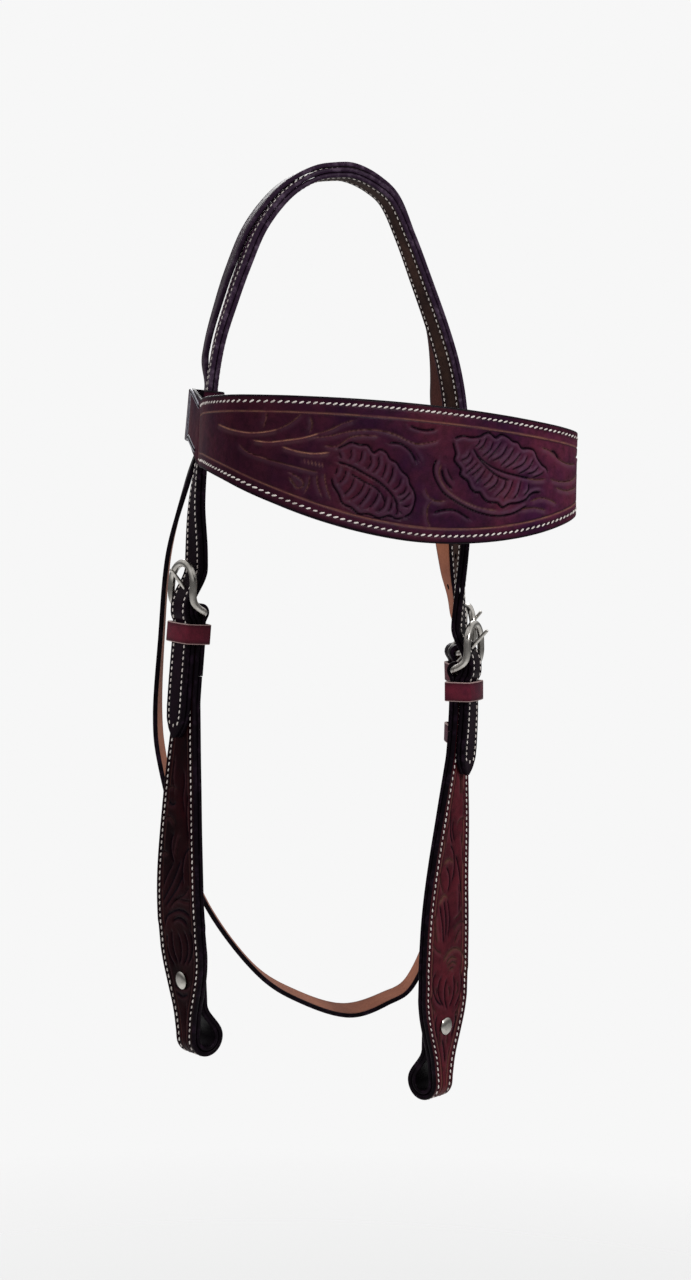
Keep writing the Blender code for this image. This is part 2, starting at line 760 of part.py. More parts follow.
def billet_offset(side, half):
    """Return the billet's middle as a function of the distance below the bar (above is negative)."""
    over_roll = side.bar_out + roll_radius(CHEEK_PLY) + CHEEK_PLY / 2 + REST_GAP + half
    on_face = side.face + CHEEK_PLY / 2 + REST_GAP + half
    table = (
        (-FRAME_RISE * 2.3, 0.0),
        (-FRAME_RISE, UNDER_ARCH),
        (-FRAME_RISE + WIRE_RADIUS, UNDER_ARCH),
        (-WIRE_RADIUS * 1.5, over_roll),
        (WIRE_RADIUS * 0.4, over_roll),
        (KEEPER_BELOW_BAR - KEEPER_HEIGHT / 2, on_face),
    )
    return lambda below: between(table, below, eased=True)


def pointed(full, tail):
    """Return the billet's width as a function of the distance below the bar, pointed at its end."""
    start = tail - BILLET_POINT
    table = ((start, full), (start + BILLET_POINT * 0.4, full * 0.92), (start + BILLET_POINT * 0.75, full * 0.6),
             (tail, full * 0.16))
    return lambda below: between(table, below)


def billet_places(top, tail):
    """Return the stations of a billet, closer together at its point."""
    start = tail - BILLET_POINT
    return stops(top, start, TWIST_STEP) + stops(start, tail, BILLET_POINT / 6)[1:]


def billet_holes(side, tail, middle, cutters):
    """Return the cutters of a billet's spare holes above the buckle."""
    holes = []
    for count in (1, 2):
        below = -BILLET_HOLE_PITCH * count - FRAME_RISE / 2
        frame = side.frame(below)
        matrix = Matrix.Translation(frame.out * middle(below)) @ frame.matrix()
        holes.append(cylinder_cutter("cut_%s_hole_%d" % (side.name, count), matrix, BILLET_HOLE_RADIUS,
                                     BILLET_HOLE_RADIUS, STRAP_WIDTH, cutters, 10))
    return holes


def make_cheek_billet(side, flex, tail, collection, cutters, leather, lining):
    """Return the two plies of the crown strap's end, from the browband loop to its point."""
    top = -abs(side.bar - flex) + CROWN_SPLIT_GAP / 2
    middle = billet_offset(side, CROWN_HALF)
    places = billet_places(top, tail)
    width = pointed(STRAP_WIDTH, tail)
    plies = []
    rows = side.stations(places, middle, width)
    out = side.frame(0).out
    for name, shift, material in (("_billet", CROWN_MIDDLE, leather), ("_billet_lining", -CROWN_MIDDLE, lining)):
        plies.append(ribbon(side.name + name, beside(rows, shift, out), CROWN_PLY, collection, material))
    cutter_list = [tongue_hole(side, cutters)] + billet_holes(side, tail, middle, cutters)
    for ply in plies:
        for cutter in cutter_list:
            cut(ply, cutter)
        move_origin(ply, side.route.frame(flex).point)
    return plies


def make_crown(spine, collection, leather, lining):
    """Return the poll part of the crown strap and its lining."""
    start = spine.mark("off_flex") + CROWN_SPLIT_GAP / 2
    end = spine.mark("near_flex") - CROWN_SPLIT_GAP / 2
    seat = spine.mark("off_seat")
    seat_end = spine.mark("near_seat")
    places = stops(start, seat) + stops(seat_end, end)
    plies = []
    for name, offset, material in (("crown_strap", CROWN_MIDDLE, leather), ("crown_lining", -CROWN_MIDDLE, lining)):
        rows = run(spine, places, lambda distance, offset=offset: offset, lambda distance: STRAP_WIDTH)
        plies.append(ribbon(name, rows, CROWN_PLY, collection, material))
    return plies


def make_throat_poll(spine, collection, leather):
    """Return the throatlatch's part that lies over the crown strap."""
    start = spine.mark("off_flex") + THROAT_SPLIT_GAP / 2
    end = spine.mark("near_flex") - THROAT_SPLIT_GAP / 2
    seat = (spine.mark("off_seat") + spine.mark("near_seat")) / 2
    loops = (spine.mark("off_rise"), spine.mark("near_rise"))

    def shift(distance):
        if distance < seat:
            return OFF_THROAT_SHIFT * between(OFF_SLIDE_SHARES, (seat - distance) / (seat - loops[0]))
        return NEAR_THROAT_SHIFT * between(NEAR_SLIDE_SHARES, (distance - seat) / (loops[1] - seat))

    def height(distance):
        share = between(OFF_LIFT_SHARES, (seat - distance) / (seat - loops[0]))
        return THROAT_OVER_CROWN + (OFF_THROAT_LIFT - THROAT_OVER_CROWN) * share

    rows = run(spine, stops(start, end), height, lambda distance: STRAP_WIDTH, shift)
    return ribbon("throatlatch_poll_strap", rows, THROAT_PLY, collection, leather)


def meet(rows, rear):
    """Return ribbon stations whose first edge ways ease into a cut end with its rear corner lowered."""
    slanted = (rear - Vector((0, 0, THROAT_END_SLANT))).normalized()
    eased = []
    for index, (point, way, width) in enumerate(rows):
        share = min(1, index / THROAT_END_ROWS)
        eased.append((point, slanted.lerp(way, share).normalized(), width))
    return eased


def make_throatlatch(spine, route, side, collection, cutters, leather):
    """Return the hanging strap with its fold at the buckle, and the billet above it."""
    bar = side.frame(0)
    radius = roll_radius(THROAT_PLY)
    start = fold_reach(THROAT_PLY)
    stations = side.stations(stops(THROAT_TURNBACK, start), lambda below: side.behind,
                             lambda below: STRAP_WIDTH)
    stations += turn(bar, 0, side.bar_out, radius, 180, 0, ROLL_WIDTH, 8)
    first = side.distance(start)
    hanging = run(route, stops(THROAT_SPLIT_GAP / 2, first), lambda distance: 0.0, lambda distance: STRAP_WIDTH)
    stations += meet(hanging, spine.frame(spine.mark("off_flex")).rear)[::-1]
    strap = ribbon("throatlatch_strap", stations, THROAT_PLY, collection, leather)
    cut(strap, tongue_slot(side, cutters, THROAT_PLY))

    middle = billet_offset(side, THROAT_PLY / 2)
    top = -abs(route.end() - side.bar) + THROAT_SPLIT_GAP / 2
    width = pointed(STRAP_WIDTH, THROAT_BILLET_TAIL)
    rows = side.stations(billet_places(top, THROAT_BILLET_TAIL), middle, width)
    rows = meet(rows, spine.frame(spine.mark("near_flex")).rear)
    billet = ribbon("throatlatch_billet", rows, THROAT_PLY, collection, leather)
    for cutter in [tongue_hole(side, cutters)] + billet_holes(side, THROAT_BILLET_TAIL, middle, cutters)[:1]:
        cut(billet, cutter)
    for ply in (strap, billet):
        move_origin(ply, route.frame(0).point)
    return strap, billet


def loop_path(frame, shift, lap_clear):
    """Return the plan of a browband fold as (forward, out) points, from its end round to the face."""
    half = STRAP_WIDTH / 2 + REST_GAP * 2
    inner = -CROWN_HALF - REST_GAP * 2 - BAND_PLY / 2
    outer = THROAT_OVER_CROWN + THROAT_PLY / 2 + LOOP_SLACK + BAND_PLY / 2
    back = -(half + shift) - BAND_PLY / 2
    tucked = outer - lap_clear
    corner = LOOP_CORNER + BAND_PLY / 2
    points = [
        (LOOP_LAP, tucked),
        (LOOP_LAP * 0.8, tucked - BAND_PLY * 0.4),
        (half + BAND_PLY * 2.2, inner + (tucked - inner) * 0.55),
        (half + BAND_PLY * 0.9, inner + (tucked - inner) * 0.08),
        (half, inner),
        (0.0, inner),
    ]
    for step in range(5):
        angle = math.radians(90 * step / 4)
        points.append((back + corner - corner * math.sin(angle), inner + corner - corner * math.cos(angle)))
    for step in range(5):
        angle = math.radians(90 * step / 4)
        points.append((back + corner - corner * math.cos(angle), outer - corner + corner * math.sin(angle)))
    points.append((0.0, outer))
    return points


def band_top(lean):
    """Return the height of the browband's top edge, from -1 at its off side to 1 at its near side."""
    middle = -BAND_TOP_DROP - BAND_NEAR_DROP / 2
    return middle - BAND_NEAR_DROP / 2 * lean + BAND_CREST * (1 - lean ** 2)


def band_stations(spine):
    """Return the face's stations: off fold, front, near fold."""
    halves = []
    lap_clear = BAND_PLY + PLY_GAP
    for sign, mark, shift in ((-1, "off_loop", OFF_THROAT_SHIFT), (1, "near_loop", NEAR_THROAT_SHIFT)):
        frame = spine.frame(spine.mark(mark), sign)
        rows = []
        for forward, out in loop_path(frame, shift, lap_clear):
            point = frame.place(0, out, -forward)
            rows.append((point, -frame.along, BAND_TONGUE))
        outer = loop_path(frame, shift, lap_clear)[-1][1]
        rows.append((frame.place(0, outer, -STRAP_WIDTH), (Vector((0, 0, 2)) - frame.along).normalized(),
                     BAND_TONGUE))
        for across, forward, height in BAND_SHARES:
            if across or sign < 0:
                tall = height * BAND_TALLEST
                top = band_top(sign * across)
                point = Vector((sign * across * BAND_HALF_WIDTH, -forward * BAND_DEPTH, top - tall / 2))
                rows.append((point, Vector((0, 0, 1)), tall))
        halves.append(rows)
    return refine(halves[0] + halves[1][::-1], len(loop_path(spine.frame(0), 0, 0)))


def refine(rows, fold_count):
    """Return the rows with the front part smoothed and closer together."""
    steps = BAND_REFINE
    front = range(fold_count - 1, len(rows) - fold_count)
    result = list(rows[:fold_count - 1])
    for index in front:
        four = [rows[index + shift] for shift in (-1, 0, 1, 2)]
        for step in range(steps):
            share = step / steps
            point = smooth(*(row[0] for row in four), share)
            way = smooth(*(row[1] for row in four), share).normalized()
            width = smooth(*(row[2] for row in four), share)
            result.append((point, way, width))
    return result + list(rows[len(rows) - fold_count:])


def make_browband(spine, collection, leather, lining):
    """Return the browband's face, folded at both ends, and the lining behind its front."""
    stations = band_stations(spine)
    face = ribbon("browband_face", stations, BAND_PLY, collection, leather)
    setback = (BAND_PLY + BAND_LINING_PLY) / 2 + PLY_GAP
    fold = len(loop_path(spine.frame(0), 0, 0))
    rows = []
    first = fold - 1 + 2 * BAND_REFINE
    for index in range(first, len(stations) - first):
        point, way, width = stations[index]
        along = (stations[index + 1][0] - stations[index - 1][0]).normalized()
        inward = way.cross(along).normalized()
        if inward.dot(Vector((point.x, point.y, 0))) > 0:
            inward = -inward
        rows.append((point + inward * setback, way, width))
    back = ribbon("browband_lining", rows, BAND_LINING_PLY, collection, lining)
    return face, back


def build():
    """Model the headstall."""
    clear_scene()
    parts = make_collection(COLLECTION)
    cutters = make_collection("cutters")
    leather = make_material("oxblood_leather", LEATHER)
    lining = make_material("dark_lining", LINING)
    flesh = make_material("tan_flesh", FLESH)
    burgundy = make_material("keeper_leather", KEEPER_LEATHER)
    nickel = make_material("nickel", NICKEL)

    spine = spine_route()
    throat = throat_route(spine)
    behind = CHEEK_FACE - CHEEK_PLY - PLY_GAP
    off = Side("off", spine, spine.mark("off_bar"), -1, CHEEK_FACE, behind, CHEEK_PLY)
    near = Side("near", spine, spine.mark("near_bar"), 1, CHEEK_FACE, behind, CHEEK_PLY)
    throat_side = Side("throat", throat, throat.mark("bar"), -1, 0.0, -THROAT_PLY - PLY_GAP, THROAT_PLY)

    make_crown(spine, parts, leather, lining)
    make_throat_poll(spine, parts, leather)
    make_browband(spine, parts, leather, lining)

    for side, flex, tail in ((off, "off_flex", OFF_BILLET_TAIL), (near, "near_flex", NEAR_BILLET_TAIL)):
        strap, inner, rear_face = make_cheek(side, parts, cutters, leather, lining)
        hang_point = spine.frame(spine.mark(flex)).point
        make_cheek_billet(side, spine.mark(flex), tail, parts, cutters, leather, lining)
        make_screw(side, rear_face, parts, nickel)
        move_origin(strap, hang_point)
        move_origin(inner, hang_point)
        front = side.face + CHEEK_PLY / 2 + REST_GAP * 2 + CROWN_HALF * 2
        make_keeper(side.name + "_cheek_keeper", side, KEEPER_BELOW_BAR, front,
                    CHEEK_TOP_WIDTH + REST_GAP * 2, parts, burgundy)
    make_throatlatch(spine, throat, throat_side, parts, cutters, flesh)
    front = THROAT_PLY / 2 + REST_GAP * 2 + THROAT_PLY
    for name, below in (("throat_upper_keeper", KEEPER_BELOW_BAR), ("throat_lower_keeper", LOWER_KEEPER_BELOW_BAR)):
        make_keeper(name, throat_side, below, front, STRAP_WIDTH + REST_GAP * 2, parts, burgundy)
    for side in (off, near, throat_side):
        make_frame(side, parts, nickel)
        make_tongue(side, parts, nickel)


build()
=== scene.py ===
"""Looks of a western browband headstall that hangs by its crown.

Tooled oxblood leather with a burnished dark edge, cream lock stitching, plain horseshoe
buckles, folded leather keepers and two binding screws. Metres, +Z up, -Y to the forehead.
"""
from __future__ import annotations

import logging
import math
from dataclasses import dataclass
from enum import Enum
from typing import Callable, Sequence, TypeVar

import bpy
import numpy as np
from mathutils import Matrix, Vector


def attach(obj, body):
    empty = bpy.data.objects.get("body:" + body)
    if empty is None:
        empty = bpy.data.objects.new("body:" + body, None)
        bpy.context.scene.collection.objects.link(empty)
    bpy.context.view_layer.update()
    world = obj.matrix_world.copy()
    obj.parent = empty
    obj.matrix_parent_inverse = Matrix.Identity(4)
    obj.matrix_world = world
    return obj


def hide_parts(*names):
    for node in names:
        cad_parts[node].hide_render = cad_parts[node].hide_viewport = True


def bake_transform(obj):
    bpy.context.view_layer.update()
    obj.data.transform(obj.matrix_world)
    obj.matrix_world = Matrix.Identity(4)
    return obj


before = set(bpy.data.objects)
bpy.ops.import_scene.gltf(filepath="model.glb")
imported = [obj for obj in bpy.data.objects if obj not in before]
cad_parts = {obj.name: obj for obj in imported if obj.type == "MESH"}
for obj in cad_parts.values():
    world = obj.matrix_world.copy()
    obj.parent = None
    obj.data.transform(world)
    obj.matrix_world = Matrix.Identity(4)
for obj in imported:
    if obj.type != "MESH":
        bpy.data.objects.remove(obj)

LOG = logging.getLogger("headstall")
MM = 0.001
UP = Vector((0.0, 0.0, 1.0))
QUARTER = tuple(math.radians(90 * step / 4) for step in range(5))
# What a smooth curve can run through
Rung = TypeVar("Rung", float, Vector, np.ndarray)
HAND = np.random.default_rng(58)

# Leather and its hanging shape, as in the part's source
STRAP_WIDTH = 16 * MM
CROWN_PLY = 2.5 * MM
THROAT_PLY = 2.6 * MM
CHEEK_PLY = 2.6 * MM
CHEEK_LINING_PLY = 2.3 * MM
BAND_PLY = 2.6 * MM
BAND_LINING_PLY = 2.0 * MM
PLY_GAP = 0.35 * MM
REST_GAP = 0.35 * MM
HALF_SPACING = 72 * MM
HANG = 500 * MM
SEAT_FLAT = 10 * MM
CHEEK_LENGTH = 241 * MM
SCREW_BELOW_BAR = 199 * MM
TAIL_ABOVE_SCREW = 14 * MM
TURNBACK = 34 * MM
OFF_BILLET_TAIL = 68 * MM
NEAR_BILLET_TAIL = 58 * MM
THROAT_BILLET_TAIL = 64 * MM
THROAT_TURNBACK = 60 * MM
BILLET_HOLE_PITCH = 25.4 * MM
BILLET_HOLE_RADIUS = 1.7 * MM
BILLET_POINT = 16 * MM
CHEEK_TOP_WIDTH = 18 * MM
CHEEK_WIDEST = 39 * MM
BIT_FOLD_WIDTH = 16 * MM
BIT_FOLD_INSIDE = 4.9 * MM
WIRE_RADIUS = 2.0 * MM
FRAME_HALF_WIDTH = 11 * MM
FRAME_RISE = 26 * MM
FRAME_SET_FORWARD = 8.5 * MM
ROLL_WIDTH = 15.4 * MM
TONGUE_RADIUS = 1.15 * MM
TONGUE_LENGTH = 28 * MM
TONGUE_TILT = 43
TONGUE_SLOT = 3.6 * MM
TONGUE_PLAY = 1.4 * MM
UNDER_ARCH = -0.6 * MM
KEEPER_HEIGHT = 10.8 * MM
KEEPER_PLY = 1.5 * MM
KEEPER_EASE = 0.35 * MM
KEEPER_BELOW_BAR = 11.5 * MM
LOWER_KEEPER_BELOW_BAR = 47.5 * MM
SCREW_HEAD_RADIUS = 4.75 * MM
SCREW_HEAD_HEIGHT = 1.5 * MM
SCREW_RADIUS = 1.3 * MM
POST_RADIUS = 2.4 * MM
POST_FLANGE = 1.2 * MM
BAND_HALF_WIDTH = 99.5 * MM
BAND_DEPTH = 122 * MM
BAND_TALLEST = 68 * MM
BAND_TONGUE = 28 * MM
BAND_TOP_DROP = 125.5 * MM
BAND_NEAR_DROP = 13 * MM
BAND_CREST = 3.5 * MM
LOOP_SLACK = 2.6 * MM
LOOP_LAP = 24 * MM
LOOP_CORNER = 2.4 * MM
OFF_THROAT_SHIFT = 17.5 * MM
NEAR_THROAT_SHIFT = 18 * MM
OFF_THROAT_LIFT = 1.3 * MM
POLL_REST_GAP = 0.6 * MM
BAR_CLEARANCE = 0.3 * MM
BAND_REFINE = 3
INTO_LOOP = 9 * MM

CROWN_HALF = CROWN_PLY + PLY_GAP / 2
CROWN_MIDDLE = (CROWN_PLY + PLY_GAP) / 2
THROAT_OVER_CROWN = CROWN_HALF + POLL_REST_GAP + THROAT_PLY / 2
CHEEK_FACE = (CHEEK_PLY + PLY_GAP) / 2
CHEEK_LINING = -(CHEEK_LINING_PLY + PLY_GAP) / 2
CHEEK_BACK = -PLY_GAP / 2 - CHEEK_LINING_PLY
CHEEK_BEHIND = CHEEK_FACE - CHEEK_PLY - PLY_GAP
TAIL_LINING = CHEEK_BACK - PLY_GAP - CHEEK_LINING_PLY / 2
TAIL_FACE = TAIL_LINING - (CHEEK_FACE - CHEEK_LINING)

# Seams: how far in from the edge, from stitch to stitch, and how deep the thread lies
CROWN_SEAM = 2.8 * MM
CROWN_PITCH = 3.2 * MM
BAND_SEAMS = (3.3 * MM, 3.8 * MM)
SUNK_THREAD = 0.08 * MM
# Their stitches: how far out the middle is, the length, the thickness and the slant
CROWN_STITCH = (CROWN_PLY / 2 - 0.05 * MM, 2.1 * MM, 0.95 * MM, 6)
BAND_STITCH = (BAND_PLY / 2 - SUNK_THREAD, 2.7 * MM, 0.98 * MM, 22)
# The creased line beside a plain strap's edge: how far in and how deep, in millimetres
CREASE = (2.2, 0.22)
# How wide a strap's rim darkens, and how gently its tooled lines start and end
RIM_FADE = 2.6 * MM
LINE_FADE = 2 * MM
# The band's rows are close together only where it is tooled
BAND_STEP = 1.4 * MM
BAND_TOOLED = (-122 * MM, 118 * MM, 0.5 * MM)

# The spine runs from the off cheek's end over the poll to the near cheek's end.
# Shares: across, back and down, then the turn of the strap's rear edge in degrees.
SPINE_SHARES = (
    ("off_end", -1.03, 0.139, 0.990, -17),
    ("off_screw", -1.075, 0.139, 0.880, -17),
    ("off_wide", -1.135, 0.142, 0.786, -17),
    ("off_cheek", -1.13, 0.144, 0.666, -17),
    ("off_tail", -1.105, 0.139, 0.570, -16),
    ("off_bar", -1.075, 0.125, 0.481, -14),
    ("off_arch", -1.08, 0.111, 0.418, -13),
    ("off_strap", -1.087, 0.083, 0.362, 2),
    ("off_flex", -1.06, 0.042, 0.3075, 15),
    ("off_loop", -1.026, 0.021, 0.280, 15),
    ("off_rise", -1.010, 0.0, 0.232, 14),
    ("off_limb_a", -0.965, 0.0, 0.190, 12),
    ("off_limb_b", -0.885, 0.0, 0.150, 9),
    ("off_limb_c", -0.79, 0.0, 0.109, 6),
    ("off_limb_d", -0.66, 0.0, 0.064, 4),
    ("off_limb_e", -0.465, 0.0, 0.027, 2),
    ("off_limb_f", -0.25, 0.0, 0.006, 0),
    ("off_seat", 0.0, 0.0, 0.0, 0),
    ("near_seat", 0.0, 0.0, 0.0, 0),
    ("near_limb_f", 0.24, 0.0, 0.009, 0),
    ("near_limb_e", 0.395, 0.0, 0.026, -2),
    ("near_limb_d", 0.535, 0.0, 0.064, -4),
    ("near_limb_c", 0.67, 0.0, 0.109, -7),
    ("near_limb_b", 0.83, 0.0, 0.165, -10),
    ("near_limb_a", 0.935, 0.0, 0.212, -13),
    ("near_rise", 0.995, 0.0, 0.262, -15),
    ("near_loop", 1.022, 0.021, 0.318, -15),
    ("near_flex", 1.042, 0.036, 0.3455, -15),
    ("near_strap", 1.062, 0.021, 0.396, -2),
    ("near_twist", 1.056, -0.021, 0.450, 23),
    ("near_arch", 1.042, -0.060, 0.498, 41),
    ("near_bar", 1.035, -0.078, 0.545, 46),
    ("near_tail", 1.036, -0.083, 0.606, 50),
    ("near_cheek", 1.0, -0.083, 0.706, 60),
    ("near_wide", 0.957, -0.083, 0.806, 64),
    ("near_screw", 0.945, -0.083, 0.946, 64),
    ("near_end", 0.943, -0.083, 1.050, 64),
)
THROAT_SHARES = (
    ("off_drop_a", -1.083, 0.340, 0.342, 15, 0),
    ("off_drop_b", -1.165, 0.514, 0.420, 20, 0),
    ("off_drop_c", -1.174, 0.632, 0.516, 22, 0),
    ("off_drop_d", -1.180, 0.667, 0.600, 28, 2),
    ("off_turn_a", -1.125, 0.680, 0.656, 28, 4),
    ("off_turn_b", -0.944, 0.72, 0.746, 18, 8),
    ("off_turn_c", -0.694, 0.76, 0.824, 8, 11),
    ("under_a", -0.278, 0.81, 0.898, 0, 12),
    ("under_b", 0.111, 0.83, 0.934, 0, 12),
    ("under_c", 0.500, 0.79, 0.952, 2, 10),
    ("near_turn_a", 0.800, 0.69, 0.938, 9, 6),
    ("near_turn_b", 1.0, 0.60, 0.913, 12, 3),
    ("near_turn_c", 1.17, 0.50, 0.83, 14, 1),
    ("near_rise_a", 1.25, 0.42, 0.706, 10, 0),
    ("near_rise_b", 1.26, 0.385, 0.606, 12, 0),
    ("bar", 1.235, 0.375, 0.530, 12, 0),
    ("arch", 1.20, 0.385, 0.474, 12, 0),
    ("strap_a", 1.135, 0.39, 0.436, 2, 0),
    ("strap_b", 1.08, 0.37, 0.390, -10, 0),
)
OFF_SLIDE_SHARES = ((0, 0), (0.25, 0.36), (0.5, 0.60), (0.74, 0.82), (1, 1))
NEAR_SLIDE_SHARES = ((0, 0), (0.28, 0.30), (0.60, 0.42), (0.70, 0.53), (0.80, 0.74), (0.92, 1))
OFF_LIFT_SHARES = ((0.9, 0), (1.02, 1))
BAND_SHARES = (
    (0.98, 0.30, 0.44),
    (1.0, 0.48, 0.49),
    (0.995, 0.66, 0.56),
    (0.94, 0.81, 0.65),
    (0.76, 0.915, 0.77),
    (0.52, 0.97, 0.89),
    (0.26, 0.994, 0.97),
    (0.0, 1.0, 1.0),
)
# The off end as the photograph shows it: taller, and drawn in towards its loop
OFF_BAND_SHARES = ((0.91, 0.30, 0.505), (0.955, 0.46, 0.53), (0.968, 0.63, 0.575), (0.915, 0.80, 0.655),
                   *BAND_SHARES[4:])
OFF_LOOP_LIFT = 4.5 * MM
CHEEK_SWELL_SHARES = ((0.20, 0.0), (0.26, 0.18), (0.354, 0.43), (0.473, 0.69), (0.58, 0.9), (0.70, 1.0))
CHEEK_TAPER_SHARES = ((0.765, 0.04), (0.80, 0.17), (0.84, 0.42), (0.90, 0.83), (0.95, 1.0))


def tint(colour: str) -> tuple[float, float, float, float]:
    """Turn an sRGB hex colour into linear values.

    Args:
        colour: Six hex digits after a hash sign.

    Returns:
        Red, green, blue and an alpha of one.
    """
    levels = [int(colour[place:place + 2], 16) / 255 for place in (1, 3, 5)]
    linear = [level / 12.92 if level <= 0.04045 else ((level + 0.055) / 1.055) ** 2.4 for level in levels]
    return (*linear, 1.0)


def plug(tree: bpy.types.NodeTree, node: bpy.types.Node, inputs: dict) -> None:
    """Set a node's inputs: a socket is linked, and anything else is a constant.

    Args:
        tree: The node tree.
        node: The node.
        inputs: Values or output sockets, by the input's name or number.
    """
    for key, value in inputs.items():
        if isinstance(value, bpy.types.NodeSocket):
            tree.links.new(value, node.inputs[key])
        else:
            node.inputs[key].default_value = value


def add_node(tree: bpy.types.NodeTree, kind: str, inputs: dict | None = None,
             **settings) -> bpy.types.Node:
    """Add a node with its settings, values and links.

    Args:
        tree: The node tree that it joins.
        kind: The node's type name.
        inputs: Values or output sockets for its inputs, by name or number.
        settings: The node's own properties.

    Returns:
        The node.
    """
    node = tree.nodes.new(kind)
    for key, value in settings.items():
        setattr(node, key, value)
    plug(tree, node, inputs or {})
    return node


def per(size: float) -> float:
    """Return the texture scale that repeats every so many metres."""
    return 1.0 / size


def mottle(tree: bpy.types.NodeTree, value: bpy.types.NodeSocket, span: tuple[float, float],
           first: bpy.types.NodeSocket | tuple[float, ...], second: tuple[float, ...],
           most: float = 1.0) -> bpy.types.NodeSocket:
    """Blend one colour into another where a pattern's value rises.

    Args:
        tree: The node tree.
        value: The pattern's value.
        span: The values between which the second colour comes in.
        first: The first colour or its socket.
        second: The second colour.
        most: The most that there is of the second colour.

    Returns:
        The blended colour.
    """
    share = add_node(tree, "ShaderNodeMapRange", {"Value": value, "From Min": span[0], "From Max": span[1],
                                                  "To Max": most})
    blend = add_node(tree, "ShaderNodeMix", {0: share.outputs[0], 6: first, 7: second}, data_type="RGBA")
    return blend.outputs[2]


class Finish:
    """A surface whose patterns are measured on the piece itself."""

    name: str

    def make(self) -> bpy.types.Material:
        """Build the material.

        Returns:
            A Principled material with this finish's look.
        """
        material = bpy.data.materials.new(self.name)
        material.use_nodes = True
        tree = material.node_tree
        where = add_node(tree, "ShaderNodeTexCoord").outputs["Object"]
        plug(tree, tree.nodes["Principled BSDF"], self.look(tree, where))
        return material

    def look(self, tree: bpy.types.NodeTree, where: bpy.types.NodeSocket) -> dict:
        """Return the shader's inputs."""
        raise NotImplementedError


@dataclass(frozen=True)
class Leather(Finish):
    """Vegetable-tanned cowhide, drum dyed, tooled wet, antiqued and waxed.

    The eye gets a deep wine brown that shifts to aubergine in patches, black antique paste
    left in every cut, a tan line where the dye is rubbed through that is partly a painted highlight on the
    cut's lip, a paler purple painted highlight on raised parts, and a soft wax shine.
    """

    name: str
    face: str
    deep: str
    rim: str = "#0C0609"
    ink: str = "#07030A"
    # Tan where the dye is rubbed through, which also serves as a painted highlight on cut lips and bends
    rubbed: str = "#A87860"
    # A paler purple painted on raised parts as a painted highlight
    polished: str = "#6C4C62"
    patch: float = 34 * MM
    mark: float = 4 * MM
    pore: float = 0.9 * MM
    rough: float = 0.36
    specular: float = 0.035
    bump: float = 0.25

    def look(self, tree: bpy.types.NodeTree, where: bpy.types.NodeSocket) -> dict:
        """Work out the shader's inputs, with the piece's rim, painted highlight, rubbed line with its painted
        highlight, and dye with painted shade laid over the patches.

        Args:
            tree: The material's node tree.
            where: The place on the piece.

        Returns:
            Values or sockets, by the input's name.
        """
        patches = add_node(tree, "ShaderNodeTexNoise", {"Vector": where, "Scale": per(self.patch),
                                                        "Detail": 4.0, "Roughness": 0.6})
        # Pull-up marks, where the waxed dye lightened as the strap was bent
        marks = add_node(tree, "ShaderNodeTexNoise", {"Vector": where, "Scale": per(self.mark), "Detail": 6.0,
                                                      "Roughness": 0.7}).outputs["Fac"]
        body = mottle(tree, patches.outputs["Fac"], (0.36, 0.66), tint(self.face), tint(self.deep))
        body = mottle(tree, marks, (0.42, 0.72), body, tint(self.rim), 0.55)
        # The rubbed lines and the painted highlight come and go unevenly along the piece
        worn = add_node(tree, "ShaderNodeMapRange", {"Value": marks, "From Min": 0.35, "From Max": 0.6,
                                                     "To Min": 0.35})
        for layer, colour, most in (("rim", self.rim, 0.85), ("polish", self.polished, 0.5),
                                    ("glow", self.rubbed, 1.0), ("dye", self.ink, 1.0)):
            share = add_node(tree, "ShaderNodeAttribute", attribute_name=layer).outputs["Fac"]
            if layer in ("polish", "glow"):
                share = add_node(tree, "ShaderNodeMath", {0: share, 1: worn.outputs[0]},
                                 operation="MULTIPLY").outputs[0]
            body = mottle(tree, share, (0.0, 1.0), body, tint(colour), most)
        # Hair-cell grain, drawn at about 0.9 mm so that it shows
        grain = add_node(tree, "ShaderNodeTexVoronoi", {"Vector": where, "Scale": per(self.pore)})
        height = add_node(tree, "ShaderNodeMath", {0: grain.outputs["Distance"], 1: marks}, operation="ADD")
        bump = add_node(tree, "ShaderNodeBump", {"Height": height.outputs[0], "Strength": self.bump,
                                                 "Distance": 0.25 * MM})
        sheen = add_node(tree, "ShaderNodeMapRange", {"Value": marks, "To Min": self.rough - 0.1,
                                                      "To Max": self.rough + 0.14})
        return {"Base Color": body, "Normal": bump.outputs["Normal"], "Roughness": sheen.outputs[0],
                "Specular IOR Level": self.specular}


